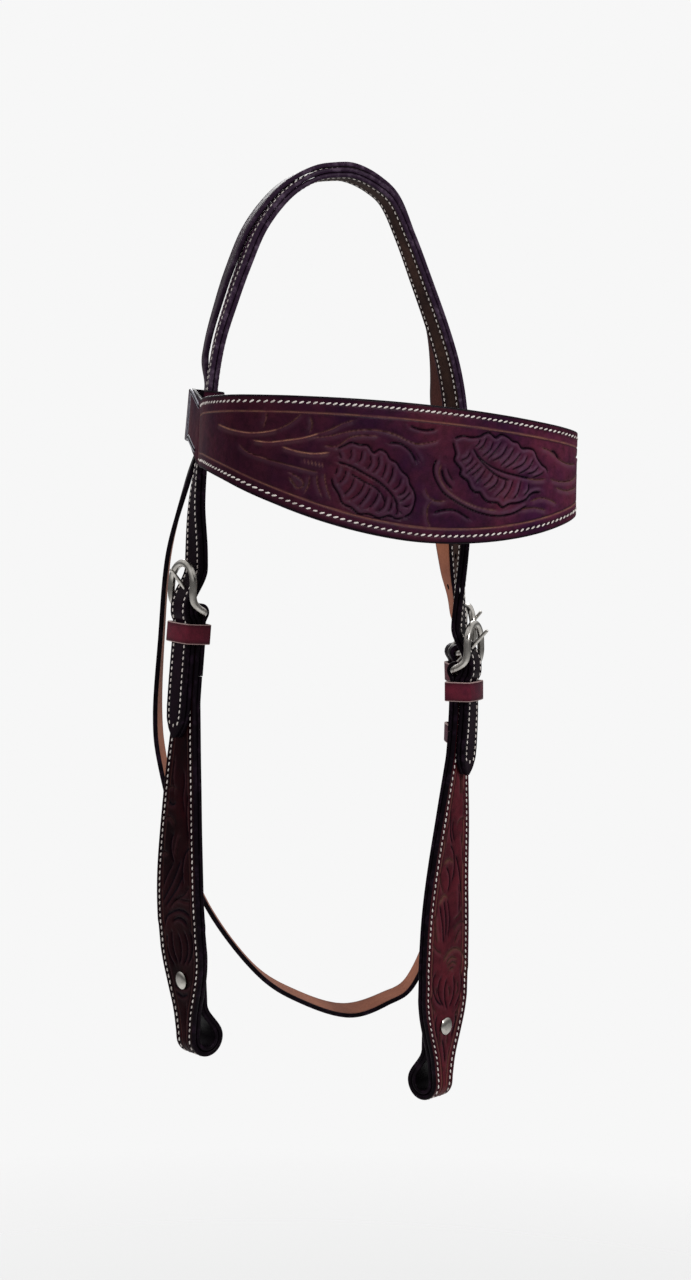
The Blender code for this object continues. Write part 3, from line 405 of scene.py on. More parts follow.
@dataclass(frozen=True)
class FleshSide(Finish):
    """The flesh side of the same hide, slicked but unfinished: matt tan with loose short fibres."""

    name: str
    face: str
    deep: str
    rim: str
    patch: float = 22 * MM
    fibre: float = 1.6 * MM

    def look(self, tree: bpy.types.NodeTree, where: bpy.types.NodeSocket) -> dict:
        """Work out the shader's inputs: matt, fibrous and darker to the edges.

        Args:
            tree: The material's node tree.
            where: The place on the piece.

        Returns:
            Values or sockets, by the input's name.
        """
        patches = add_node(tree, "ShaderNodeTexNoise", {"Vector": where, "Scale": per(self.patch),
                                                        "Detail": 5.0})
        fibres = add_node(tree, "ShaderNodeTexNoise", {"Vector": where, "Scale": per(self.fibre),
                                                       "Detail": 8.0, "Roughness": 0.75,
                                                       "Distortion": 0.8}).outputs["Fac"]
        both = add_node(tree, "ShaderNodeMath", {0: patches.outputs["Fac"], 1: fibres}, operation="MULTIPLY")
        body = mottle(tree, both.outputs[0], (0.14, 0.40), tint(self.deep), tint(self.face))
        edge = add_node(tree, "ShaderNodeAttribute", attribute_name="rim").outputs["Fac"]
        bump = add_node(tree, "ShaderNodeBump", {"Height": fibres, "Strength": 0.5, "Distance": 0.3 * MM})
        return {"Base Color": mottle(tree, edge, (0.0, 1.0), body, tint(self.rim), 0.7),
                "Normal": bump.outputs["Normal"], "Roughness": 0.82, "Specular IOR Level": 0.15,
                "Sheen Weight": 0.1}


@dataclass(frozen=True)
class BurnishedEdge(Finish):
    """A cut leather edge, dyed, waxed and rubbed: dark with a dull gloss and paler worn streaks."""

    name: str
    face: str = "#0B060B"
    worn: str = "#241624"
    rough: float = 0.36
    specular: float = 0.035
    streak: float = 5 * MM
    fibre: float = 0.7 * MM

    def look(self, tree: bpy.types.NodeTree, where: bpy.types.NodeSocket) -> dict:
        """Work out the shader's inputs: dark wax worn in streaks.

        Args:
            tree: The material's node tree.
            where: The place on the piece.

        Returns:
            Values or sockets, by the input's name.
        """
        wear = add_node(tree, "ShaderNodeTexNoise", {"Vector": where, "Scale": per(self.streak),
                                                     "Detail": 6.0, "Roughness": 0.7})
        fibres = add_node(tree, "ShaderNodeTexNoise", {"Vector": where, "Scale": per(self.fibre),
                                                       "Detail": 3.0})
        bump = add_node(tree, "ShaderNodeBump", {"Height": fibres.outputs["Fac"], "Strength": 0.3,
                                                 "Distance": 0.15 * MM})
        body = mottle(tree, wear.outputs["Fac"], (0.5, 0.78), tint(self.face), tint(self.worn))
        return {"Base Color": body, "Normal": bump.outputs["Normal"], "Roughness": self.rough,
                "Specular IOR Level": self.specular}


@dataclass(frozen=True)
class WaxedThread(Finish):
    """Bonded polyester lock stitching, waxed: off-white with a faint twist and a little leather dye on it."""

    name: str = "waxed_thread"
    face: str = "#D6CEC8"
    soiled: str = "#8C7C78"
    patch: float = 7 * MM
    turn: float = 2.2 * MM

    def look(self, tree: bpy.types.NodeTree, where: bpy.types.NodeSocket) -> dict:
        """Work out the shader's inputs: pale, twisted and soiled in places.

        Args:
            tree: The material's node tree.
            where: The place on the piece.

        Returns:
            Values or sockets, by the input's name.
        """
        soil = add_node(tree, "ShaderNodeTexNoise", {"Vector": where, "Scale": per(self.patch),
                                                     "Detail": 3.0})
        twist = add_node(tree, "ShaderNodeTexWave", {"Vector": where, "Scale": per(self.turn),
                                                     "Distortion": 1.0})
        bump = add_node(tree, "ShaderNodeBump", {"Height": twist.outputs["Fac"], "Strength": 0.4,
                                                 "Distance": 0.1 * MM})
        body = mottle(tree, soil.outputs["Fac"], (0.45, 0.75), tint(self.face), tint(self.soiled), 0.8)
        return {"Base Color": body, "Normal": bump.outputs["Normal"], "Roughness": 0.55}


@dataclass(frozen=True)
class NickelPlate(Finish):
    """Steel wire, barrel polished and nickel plated: a warm grey mirror, slightly hazed by handling."""

    name: str = "nickel_plate"
    face: str = "#C2BEB8"
    haze: str = "#85817B"
    patch: float = 6 * MM
    scuff: float = 1.2 * MM

    def look(self, tree: bpy.types.NodeTree, where: bpy.types.NodeSocket) -> dict:
        """Work out the shader's inputs: polished metal with fine haze.

        Args:
            tree: The material's node tree.
            where: The place on the piece.

        Returns:
            Values or sockets, by the input's name.
        """
        cloud = add_node(tree, "ShaderNodeTexNoise", {"Vector": where, "Scale": per(self.patch),
                                                      "Detail": 5.0}).outputs["Fac"]
        rough = add_node(tree, "ShaderNodeMapRange", {"Value": cloud, "To Min": 0.1, "To Max": 0.34})
        scuff = add_node(tree, "ShaderNodeTexNoise", {"Vector": where, "Scale": per(self.scuff),
                                                      "Detail": 4.0})
        bump = add_node(tree, "ShaderNodeBump", {"Height": scuff.outputs["Fac"], "Strength": 0.12,
                                                 "Distance": 0.1 * MM})
        return {"Base Color": mottle(tree, cloud, (0.4, 0.75), tint(self.face), tint(self.haze)),
                "Normal": bump.outputs["Normal"], "Roughness": rough.outputs[0], "Metallic": 1.0}


class Coat(Enum):
    """The headstall's finishes."""

    TOOLED = Leather("antiqued_tooled_leather", "#5E2636", "#3A1632")
    CHEEK = Leather("oxblood_cheek_leather", "#541C24", "#3A121C", patch=40 * MM, polished="#6A3844")
    # The off cheek: the same leather painted darker as painted shade, with a dimmer painted highlight and
    # rubbed line
    SHADED_CHEEK = Leather("dark_oxblood_cheek_leather", "#24080C", "#100406", patch=40 * MM,
                           polished="#462830", rubbed="#6A443C", specular=0.02)
    CROWN = Leather("plum_crown_leather", "#3A2236", "#241422", rim="#1A1018", rough=0.34)
    STRAP = Leather("waxed_strap_leather", "#1A0E18", "#0D060C", rough=0.34)
    LINING = Leather("chocolate_lining_leather", "#3A2822", "#281B19", rough=0.55)
    DARK_LINING = Leather("black_lining_leather", "#0F0910", "#09050A", rough=0.5)
    KEEPER = Leather("burgundy_keeper_leather", "#5C1E2C", "#381228", rough=0.26, rim="#2A0E16", specular=0.1)
    RAW_EDGE = FleshSide("raw_keeper_edge", "#D0BAB2", "#A08480", "#8A6E6E")
    FLESH = FleshSide("tan_flesh_side", "#9C6046", "#7C4632", "#5A3428")
    # A darker flesh side, on the back of the strap over the crown
    DARKER_FLESH = FleshSide("dyed_flesh_side", "#46201A", "#301310", "#1C0C0C")
    EDGE = BurnishedEdge("burnished_black_edge")
    PLUM_EDGE = BurnishedEdge("burnished_plum_edge", "#281A2A", "#5C4C5E")
    # Pale grey lines round each loop's fold: a painted highlight along its outline, partly its light cut edge
    RIM = BurnishedEdge("rubbed_grey_rim", "#84828C", "#B4B2BA", 0.3, 0.2)
    THREAD = WaxedThread()
    NICKEL = NickelPlate()

    def paint(self) -> bpy.types.Material:
        """Return this finish's material, made once."""
        return bpy.data.materials.get(self.value.name) or self.value.make()


def smooth(before: Rung, start: Rung, end: Rung, after: Rung, share: float) -> Rung:
    """Read a Catmull-Rom curve between its two middle values.

    Args:
        before: The value before the stretch.
        start: The value where the stretch starts.
        end: The value where it ends.
        after: The value after it.
        share: How far along the stretch to read.

    Returns:
        The value there.
    """
    linear = end - before
    square = before * 2 - start * 5 + end * 4 - after
    cube = start * 3 - before - end * 3 + after
    return start + (linear * share + square * share ** 2 + cube * share ** 3) / 2


def between(table: Sequence[tuple[float, float]], value: float, eased: bool = False) -> float:
    """Read a rising table.

    Args:
        table: Rows of place and value.
        value: The place to read.
        eased: Whether to ease in and out of each row.

    Returns:
        The value there, held level past both ends.
    """
    if value <= table[0][0]:
        return table[0][1]
    for (low, first), (high, second) in zip(table, table[1:]):
        if value <= high:
            share = (value - low) / (high - low)
            if eased:
                share = share * share * (3 - 2 * share)
            return first + (second - first) * share
    return table[-1][1]


def flow(table: Sequence[tuple[float, float]], value: float) -> float:
    """Read a rising table along a smooth curve through its rows.

    Args:
        table: Rows of place and value.
        value: The place to read.

    Returns:
        The value there, held level past both ends.
    """
    knots, values = (np.array(column, float) for column in zip(*table))
    place = min(max(value, knots[0]), knots[-1])
    return float(glide(knots, values[:, None], np.array([place]))[0, 0])


def stops(start: float, end: float, step: float = 3 * MM) -> list[float]:
    """Return evenly spaced distances from start to end, about a step apart."""
    count = max(1, math.ceil(abs(end - start) / step))
    return [start + (end - start) * index / count for index in range(count + 1)]


def rear_way(turn: float, lift: float = 0.0) -> Vector:
    """Return the direction of a rear edge turned to the near side and lifted, in degrees."""
    turn, lift = math.radians(turn), math.radians(lift)
    return Vector((math.sin(turn) * math.cos(lift), math.cos(turn) * math.cos(lift), math.sin(lift)))


@dataclass
class Spot:
    """A place on a strap: its point, and the ways along it, outwards and to its rear edge."""

    point: Vector
    along: Vector
    out: Vector
    rear: Vector

    def place(self, along: float = 0.0, out: float = 0.0, rear: float = 0.0) -> Vector:
        """Return the world point at these distances from the spot."""
        return self.point + self.along * along + self.out * out + self.rear * rear

    def matrix(self, out: float = 0.0) -> Matrix:
        """Return a matrix with X to the rear, Y up the strap and Z outwards."""
        turn = Matrix((self.rear, -self.along, self.out)).transposed()
        return Matrix.Translation(self.place(0, out)) @ turn.to_4x4()


@dataclass
class Station:
    """One row of a strap: its middle, the way to its edge and its width."""

    point: Vector
    way: Vector
    width: float


class Route:
    """A smooth line through named places, each with the way that the strap's rear edge faces."""

    def __init__(self, places: list[tuple[str, Vector, Vector]], outward: int, steps: int = 12) -> None:
        """Measure the line.

        Args:
            places: Each place's name, point and rear way.
            outward: 1 or -1, for the side of the line that the strap's face is on.
            steps: How many steps each span is measured in.
        """
        self.places = places
        self.outward = outward
        self.steps = steps
        self.lengths = [0.0]
        self.marks = {name: index * steps for index, (name, _point, _rear) in enumerate(places)}
        last = places[0][1]
        for index in range(1, (len(places) - 1) * steps + 1):
            point = self.value(index / steps)[0]
            self.lengths.append(self.lengths[-1] + (point - last).length)
            last = point

    def value(self, place: float) -> tuple[Vector, Vector]:
        """Read the line.

        Args:
            place: The place, counted in spans.

        Returns:
            The point and the rear way there.
        """
        index = min(int(place), len(self.places) - 2)
        four = [self.places[min(max(index + shift, 0), len(self.places) - 1)] for shift in (-1, 0, 1, 2)]
        share = place - index
        return smooth(*(row[1] for row in four), share), smooth(*(row[2] for row in four), share).normalized()

    def mark(self, name: str) -> float:
        """Return the distance along the route of a named place."""
        return self.lengths[self.marks[name]]

    def end(self) -> float:
        """Return the route's length."""
        return self.lengths[-1]

    def raw(self, distance: float) -> tuple[Vector, Vector]:
        """Return the point and rear way at a distance."""
        place = float(np.interp(distance, self.lengths, range(len(self.lengths)))) / self.steps
        return self.value(place)

    def spot(self, distance: float, direction: int = 1) -> Spot:
        """Find a place on the route.

        Args:
            distance: How far along the route.
            direction: 1 for along to follow the route, -1 for the other way.

        Returns:
            The spot there.
        """
        reach = SEAT_FLAT / 4
        along = (self.raw(distance + reach)[0] - self.raw(distance - reach)[0]).normalized()
        point, rear = self.raw(distance)
        rear = (rear - along * rear.dot(along)).normalized()
        return Spot(point, along * direction, along.cross(rear) * self.outward, rear)


def at_shares(across: float, back: float, down: float) -> Vector:
    """Return the point at these shares of the headstall's spacing and drop."""
    return Vector((across * HALF_SPACING, back * HALF_SPACING, CROWN_HALF - down * HANG))


def spine_route() -> Route:
    """Return the middle line of the crown and both cheeks."""
    places = []
    for name, across, back, down, turn in SPINE_SHARES:
        point = at_shares(across, back, down)
        if name.endswith("_seat"):
            point.x = SEAT_FLAT / 2 * (1 if name.startswith("near") else -1)
        places.append((name, point, rear_way(turn)))
    return Route(places, 1)


def throat_route(spine: Route) -> Route:
    """Lay the middle line of the hanging throatlatch.

    Args:
        spine: The crown's and cheeks' middle line, which both its ends follow.

    Returns:
        The route from the off loop to the near loop.
    """
    off_exit = spine.spot(spine.mark("off_flex"))
    near_exit = spine.spot(spine.mark("near_flex"))
    places = [("off_exit", off_exit.place(0, OFF_THROAT_LIFT, OFF_THROAT_SHIFT), off_exit.rear)]
    for name, across, back, down, turn, lift in THROAT_SHARES:
        places.append((name, at_shares(across, back, down), rear_way(turn, lift)))
    places.append(("near_exit", near_exit.place(0, THROAT_OVER_CROWN, NEAR_THROAT_SHIFT), near_exit.rear))
    return Route(places, -1)


@dataclass
class Side:
    """One buckle's strap, measured downwards from the buckle's bar."""

    name: str
    route: Route
    bar: float
    sign: int
    face: float
    behind: float
    ply: float

    @property
    def back(self) -> float:
        """Return the stack's rear face."""
        return self.behind - self.ply / 2

    @property
    def bar_out(self) -> float:
        """Return how far out the bar's middle is."""
        return (self.face + self.behind) / 2

    def distance(self, below: float) -> float:
        """Return the distance along the route of a place below the bar."""
        return self.bar + self.sign * below

    def spot(self, below: float) -> Spot:
        """Return the spot there, with along pointing down."""
        return self.route.spot(self.distance(below), self.sign)

    def folded(self, turnback: float, start: float, width: Callable) -> list[Station]:
        """Lay the end that is turned back behind, and its fold round the bar.

        Args:
            turnback: Where the end is, below the bar.
            start: Where the fold starts.
            width: The width, as a function of the distance.

        Returns:
            The rows.
        """
        rows = self.stations(stops(turnback, start), lambda below: self.behind, width)
        return rows + turned(self.spot(0), 0, self.bar_out, roll_radius(self.ply), 180, 0, ROLL_WIDTH, 10)

    def cut_slot(self, piece: bpy.types.Object) -> None:
        """Cut the tongue's slot through the fold.

        Args:
            piece: The folded strap.
        """
        bar, radius = self.spot(0), roll_radius(self.ply)
        punch(piece, Matrix.Translation(bar.out * self.bar_out) @ bar.matrix(), TONGUE_SLOT / 2,
              radius + self.ply, 4 * radius, 4)

    def stations(self, places: Sequence[float], offset: Callable, width: Callable) -> list[Station]:
        """Lay rows below the bar.

        Args:
            places: Distances below the bar.
            offset: How far out the middle is, as a function of the distance.
            width: The width, as a function of the distance.

        Returns:
            The rows.
        """
        rows = []
        for below in places:
            spot = self.spot(below)
            rows.append(Station(spot.place(0, offset(below)), spot.rear, width(below)))
        return rows


def glide(knots: np.ndarray, values: np.ndarray, at: np.ndarray) -> np.ndarray:
    """Run a smooth curve through unevenly spaced values.

    Args:
        knots: Rising places of the values.
        values: One row for each knot.
        at: The places to read.

    Returns:
        One row for each place.
    """
    spans = np.diff(knots)[:, None]
    slopes = np.diff(values, axis=0) / spans
    tangents = np.concatenate([slopes[:1], slopes[:-1], slopes[-1:]])
    tangents[1:-1] = (slopes[:-1] * spans[1:] + slopes[1:] * spans[:-1]) / (spans[1:] + spans[:-1])
    index = np.clip(np.searchsorted(knots, at, side="right") - 1, 0, len(knots) - 2)
    span = spans[index]
    share = (at - knots[index])[:, None] / span
    square, cube = share ** 2, share ** 3
    return (values[index] * (2 * cube - 3 * square + 1) + tangents[index] * span * (cube - 2 * square + share)
            + values[index + 1] * (3 * square - 2 * cube) + tangents[index + 1] * span * (cube - square))


def unit(rows: np.ndarray) -> np.ndarray:
    """Return the rows as unit vectors."""
    return rows / np.linalg.norm(rows, axis=1, keepdims=True)


class Course:
    """A strap's middle surface as evenly spaced rows, each with its ways, width and distance."""

    def __init__(self, rows: list[Station], step: float, toward: Vector, at: int = 0, closed: bool = False,
                 zero: tuple[int, float] | None = None,
                 fine: tuple[float, float, float] | None = None) -> None:
        """Space the rows evenly.

        Args:
            rows: Coarse rows.
            step: How far apart the even rows are.
            toward: The way that the strap's face looks.
            at: The coarse row at which it looks there.
            closed: Whether the last row joins the first.
            zero: A coarse row and the distance that it is at.
            fine: A stretch with its own step: from, to and the step.
        """
        values = np.array([(*row.point, *row.way, row.width) for row in rows])
        apart = np.linalg.norm(np.diff(values[:, :3], axis=0), axis=1)
        keep = np.concatenate([[True], apart > 0.25 * MM])
        arc = np.concatenate([[0], np.cumsum(apart)])
        anchor, anchor_value = (arc[zero[0]], zero[1]) if zero else (0.0, 0.0)
        look = arc[at]
        values, arc = values[keep], arc[keep]
        if closed:
            joint = np.linalg.norm(values[0, :3] - values[-1, :3])
            whole = arc[-1] + joint
            values = np.concatenate([values[-3:], values, values[:4]])
            arc = np.concatenate([arc[-3:] - whole, arc, arc[:4] + whole])
            places = np.linspace(0, whole, max(8, round(whole / step)) + 1)
        else:
            ends, steps = [0.0, arc[-1]], [step]
            if fine:
                shift = anchor - anchor_value
                ends, steps = [0.0, fine[0] + shift, fine[1] + shift, arc[-1]], [step, fine[2], step]
            spans = [np.linspace(low, high, max(2, round((high - low) / size)) + 1)
                     for low, high, size in zip(ends, ends[1:], steps)]
            places = np.concatenate([spans[0], *(span[1:] for span in spans[1:])])
        even = glide(arc, values, places)
        self.closed = closed
        self.points, ways, self.widths = even[:, :3], even[:, 3:6], even[:, 6]
        tangents = np.gradient(self.points, axis=0)
        if closed:
            tangents[0] = tangents[-1] = self.points[1] - self.points[-2]
        self.tangents = unit(tangents)
        self.ways = unit(ways - self.tangents * np.sum(ways * self.tangents, axis=1, keepdims=True))
        self.normals = np.cross(self.tangents, self.ways)
        middle = int(np.argmin(np.abs(places - look)))
        if self.normals[middle] @ np.array(toward) < 0:
            self.normals = -self.normals
        self.marks = places - anchor + anchor_value

    def lay(self, marks: np.ndarray, across: np.ndarray, out: np.ndarray) -> tuple[np.ndarray, ...]:
        """Find places on the strap.

        Args:
            marks: Distances along it.
            across: Distances from its middle line.
            out: Distances from its middle surface.

        Returns:
            The points, and the ways along, across and out at each.
        """
        found = [np.stack([np.interp(marks, self.marks, rows[:, axis]) for axis in range(3)], -1)
                 for rows in (self.points, self.tangents, self.ways, self.normals)]
        along, way, normal = (unit(rows) for rows in found[1:])
        return found[0] + way * across[:, None] + normal * out[:, None], along, way, normal

    def half(self, marks: np.ndarray) -> np.ndarray:
        """Return half the width at these distances."""
        return np.interp(marks, self.marks, self.widths) / 2


class Part(Enum):
    """The surfaces of a strap, in the order of its material slots."""

    FACE = 0
    EDGE = 1
    BACK = 2


class Section:
    """A closed outline across a strap, as columns."""

    def __init__(self, columns: list[tuple[float, float, float, Part]]) -> None:
        """Keep the columns.

        Args:
            columns: The share of half the width, the distances past it and outwards, and the surface.
        """
        self.lead = np.array([column[0] for column in columns])
        self.side = np.array([column[1] for column in columns])
        self.level = np.array([column[2] for column in columns])
        self.parts = [column[3] for column in columns]
        self.inset = float(np.max(np.abs(self.side[np.abs(self.lead) == 1]))) if self.lead.any() else 0.0


def flat_section(thickness: float, front: int = 8, back: int = 6, corner: float = 0.9 * MM) -> Section:
    """Outline a flat strap with rounded edges.

    Args:
        thickness: The leather's thickness.
        front: How many faces across its face.
        back: How many across its back.
        corner: The most that its edges are rounded.

    Returns:
        The section.
    """
    radius = min(corner, thickness * 0.42)
    core = thickness / 2 - radius

    def rounded(lead: float, angles: Sequence[float]) -> list[tuple[float, float, float, Part]]:
        """Return the columns round one edge."""
        return [(lead, math.cos(turn) * radius, math.copysign(core, math.sin(turn)) + math.sin(turn) * radius,
                 Part.EDGE) for turn in map(math.radians, angles)]

    columns = [(-1 + 2 * index / front, 0.0, thickness / 2, Part.FACE) for index in range(front + 1)]
    columns += rounded(1.0, (55, 20, -20, -55))
    columns += [(1 - 2 * index / back, 0.0, -thickness / 2, Part.BACK) for index in range(back + 1)]
    return Section(columns + rounded(-1.0, (235, 200, 160, 125)))


def round_section(radius: float, sides: int = 14) -> Section:
    """Return the outline of a round wire."""
    turns = [math.tau * index / sides for index in range(sides)]
    return Section([(0.0, -math.sin(turn) * radius, math.cos(turn) * radius, Part.FACE) for turn in turns])


def clean_start() -> None:
    """Go to object mode with nothing selected."""
    if bpy.context.object and bpy.context.object.mode != "OBJECT":
        bpy.ops.object.mode_set(mode="OBJECT")
    bpy.ops.object.select_all(action="DESELECT")


def pick(piece: bpy.types.Object) -> None:
    """Make a piece the active one, and the only one selected.

    Args:
        piece: The piece.
    """
    clean_start()
    bpy.context.view_layer.objects.active = piece
    piece.select_set(True)


def mend(weld: float = 0.0, close: bool = False) -> None:
    """Point the active mesh's faces outwards.

    Args:
        weld: Join the points that are closer than this, where it isn't zero.
        close: Whether to fill the open ends.
    """
    bpy.ops.object.mode_set(mode="EDIT")
    bpy.ops.mesh.select_all(action="SELECT")
    if weld:
        bpy.ops.mesh.remove_doubles(threshold=weld)
    if close:
        bpy.ops.mesh.fill_holes(sides=0)
    bpy.ops.mesh.normals_make_consistent(inside=False)
    bpy.ops.object.mode_set(mode="OBJECT")


def sweep(name: str, course: Course, section: Section, coats: Sequence[Coat], press: Callable | None = None,
          scale: np.ndarray | None = None) -> bpy.types.Object:
    """Carry a section along a course.

    Args:
        name: The piece's name.
        course: Where it runs.
        section: Its outline.
        coats: Finishes of its face, edge and back.
        press: Height, dye with painted shade, rubbed line with its painted highlight, and painted highlight
            of the face, from distances along and across and half the width.
        scale: The section's size at each row.

    Returns:
        The piece, with its place in its mesh.
    """
    rows, columns = len(course.points), len(section.lead)
    clean_start()
    bpy.ops.mesh.primitive_grid_add(x_subdivisions=columns, y_subdivisions=rows - 1, size=1)
    piece = bpy.context.object
    piece.name = piece.data.name = name
    mesh = piece.data
    plan = np.empty(len(mesh.vertices) * 3)
    mesh.vertices.foreach_get("co", plan)
    plan = plan.reshape(-1, 3)
    column = np.rint((plan[:, 0] + 0.5) * columns).astype(int)
    row = np.rint((plan[:, 1] + 0.5) * (rows - 1)).astype(int)
    around = column % columns
    half = course.widths[row] / 2
    across = section.lead[around] * (half - section.inset) + section.side[around]
    out = section.level[around].copy()
    if scale is not None:
        across, out = across * scale[row], out * scale[row]
    marks = course.marks[row]
    parts = np.array([part.value for part in section.parts])[around]
    face = parts == Part.FACE.value
    layers = {key: np.zeros(len(plan)) for key in ("dye", "glow", "polish")}
    if press is not None:
        height, *shares = press(marks[face], across[face], half[face])
        out[face] += height
        for key, share in zip(layers, shares):
            layers[key][face] = share
    edge = np.clip(1 - (half - np.abs(across)) / RIM_FADE, 0, 1)
    layers["rim"] = np.where(parts == Part.EDGE.value, 1.0, edge)
    points = course.points[row] + course.ways[row] * across[:, None] + course.normals[row] * out[:, None]
    mesh.vertices.foreach_set("co", points.ravel())
    for key, values in layers.items():
        layer = mesh.attributes.new(key, "FLOAT", "POINT")
        layer.data.foreach_set("value", np.clip(values, 0, 1).astype(np.float32))
    corners = np.empty(len(mesh.loops), int)
    mesh.loops.foreach_get("vertex_index", corners)
    mesh.uv_layers[0].name = "strap"
    mesh.uv_layers[0].data.foreach_set("uv", np.stack([marks[corners], across[corners]], -1).ravel())
    quads = column[corners].reshape(-1, 4)
    low, high = quads.min(axis=1), quads.max(axis=1) % columns
    kinds = np.array([part.value for part in section.parts])
    slots = np.where(kinds[low] == kinds[high], kinds[low], Part.EDGE.value)
    for coat in coats:
        mesh.materials.append(coat.paint())
    mesh.polygons.foreach_set("material_index", np.minimum(slots, len(coats) - 1))
    mend(0.002 * MM, not course.closed)
    for polygon in mesh.polygons:
        if polygon.loop_total > 4:
            polygon.material_index = min(Part.EDGE.value, len(coats) - 1)
    bpy.ops.object.shade_smooth_by_angle(angle=math.radians(44))
    return piece


def punch(piece: bpy.types.Object, matrix: Matrix, radius_x: float, radius_y: float, depth: float,
          sides: int = 20) -> None:
    """Punch a round or oval hole through a piece along the matrix's Z axis.

    Args:
        piece: The piece to cut.
        matrix: The hole's middle and ways.
        radius_x: Half its width.
        radius_y: Half its height.
        depth: The punch's length.
        sides: How many sides the punch has; 4 makes a slot.
    """
    clean_start()
    bpy.ops.mesh.primitive_cylinder_add(vertices=sides, radius=1, depth=1)
    cutter = bpy.context.object
    grow = 1.0
    if sides == 4:
        cutter.data.transform(Matrix.Rotation(math.radians(45), 4, "Z"))
        grow = math.sqrt(2)
    cutter.data.transform(matrix @ Matrix.Diagonal((radius_x * grow, radius_y * grow, depth, 1)))
    for polygon in cutter.data.polygons:
        polygon.material_index = Part.EDGE.value
    for coat in piece.data.materials:
        cutter.data.materials.append(coat)
    pick(piece)
    cut = piece.modifiers.new("punch", "BOOLEAN")
    cut.operation = "DIFFERENCE"
    cut.object = cutter
    bpy.ops.object.modifier_apply(modifier=cut.name)
    bpy.data.objects.remove(cutter, do_unlink=True)


class Stitcher:
    """Lays rows of one small stitch on straps."""

    def __init__(self) -> None:
        """Model the stitch: a low oval bead of thread that dips into its holes."""
        clean_start()
        bpy.ops.mesh.primitive_uv_sphere_add(segments=6, ring_count=4, radius=0.5)
        bead = bpy.context.object
        bead.data.transform(Matrix.Rotation(math.radians(90), 4, "Y"))
        self.verts = np.array([vert.co for vert in bead.data.vertices])
        self.verts[:, 0] = np.sign(self.verts[:, 0]) * np.abs(self.verts[:, 0] * 2) ** 0.8 / 2
        self.faces = [tuple(polygon.vertices) for polygon in bead.data.polygons]
        bpy.data.objects.remove(bead, do_unlink=True)

    def sew(self, name: str, course: Course, rows: Sequence[tuple[np.ndarray, np.ndarray]], out: float,
            length: float = 2.2 * MM, thick: float = 0.95 * MM, slant: float = 10.0) -> bpy.types.Object:
        """Copy the stitch along rows.

        Args:
            name: The piece's name.
            course: The strap that is sewn.
            rows: Distances along and across for each row's stitches.
            out: How far the stitches' middles are from the strap's middle surface.
            length: A stitch's length.
            thick: The thread's thickness.
            slant: The stitch's angle to its row, in degrees.

        Returns:
            One piece that holds every stitch.
        """
        marks = np.concatenate([row[0] for row in rows])
        across = np.concatenate([row[1] for row in rows])
        heading = np.concatenate([np.gradient(row[1], row[0]) if len(row[0]) > 1 else [0.0] for row in rows])
        points, along, way, normal = course.lay(marks, across, np.full(len(marks), out))
        turn = np.arctan(heading) + math.radians(slant) + HAND.normal(0, 0.06, len(marks))
        ahead = along * np.cos(turn)[:, None] + way * np.sin(turn)[:, None]
        aside = np.cross(normal, ahead)
        sizes = 1 + HAND.normal(0, 0.05, (len(marks), 1, 1))
        bead = self.verts[None]
        verts = (points[:, None] + ahead[:, None] * bead[..., :1] * length * sizes
                 + aside[:, None] * bead[..., 1:2] * thick * sizes
                 + normal[:, None] * bead[..., 2:] * thick * 0.85)
        count = len(self.verts)
        faces = [tuple(index * count + corner for corner in face)
                 for index in range(len(marks)) for face in self.faces]
        mesh = bpy.data.meshes.new(name)
        mesh.from_pydata([tuple(vert) for vert in verts.reshape(-1, 3)], [], faces)
        mesh.materials.append(Coat.THREAD.paint())
        piece = bpy.data.objects.new(name, mesh)
        bpy.context.scene.collection.objects.link(piece)
        pick(piece)
        mend()
        bpy.ops.object.shade_smooth()
        return piece


def edge_rows(course: Course, start: float, end: float, pitch: float, upper: float,
              lower: float | None = None) -> list[tuple[np.ndarray, np.ndarray]]:
    """Space stitches a fixed way in from a strap's two edges.

    Args:
        course: The strap.
        start: Where the rows start.
        end: Where they end.
        pitch: From one stitch to the next.
        upper: How far in from the rear or upper edge they run.
        lower: How far in from the other edge, where that differs.

    Returns:
        Distances along and across for each row.
    """
    marks = np.arange(start + pitch / 2, end, pitch)
    half = course.half(marks)
    return [(marks, side * np.maximum(half - inset, 0.0))
            for side, inset in ((1, upper), (-1, lower or upper))]


def pair(upper: float, deep: float, rubbed: float = 0.0, lower: float | None = None) -> tuple:
    """Return a tooled line beside each edge: how far in, how deep and how rubbed with its painted highlight,
    in millimetres.
    """
    return (1, upper, deep, rubbed), (-1, lower or upper, deep, rubbed)


@dataclass(frozen=True)
class Stroke:
    """One knife cut or stamp in wet leather, in millimetres along and across the strap."""

    path: tuple[tuple[float, float], ...]
    wide: float = 0.6
    deep: float = 0.55
    bevel: float = 2.0
    ink: float = 1.0
    # How much of the pale rubbed line shows; it is partly a painted highlight on the cut's lip
    glow: float = 0.0
    # How much painted highlight the raised lip beside the bevel gets
    painted_highlight_share: float = 0.6


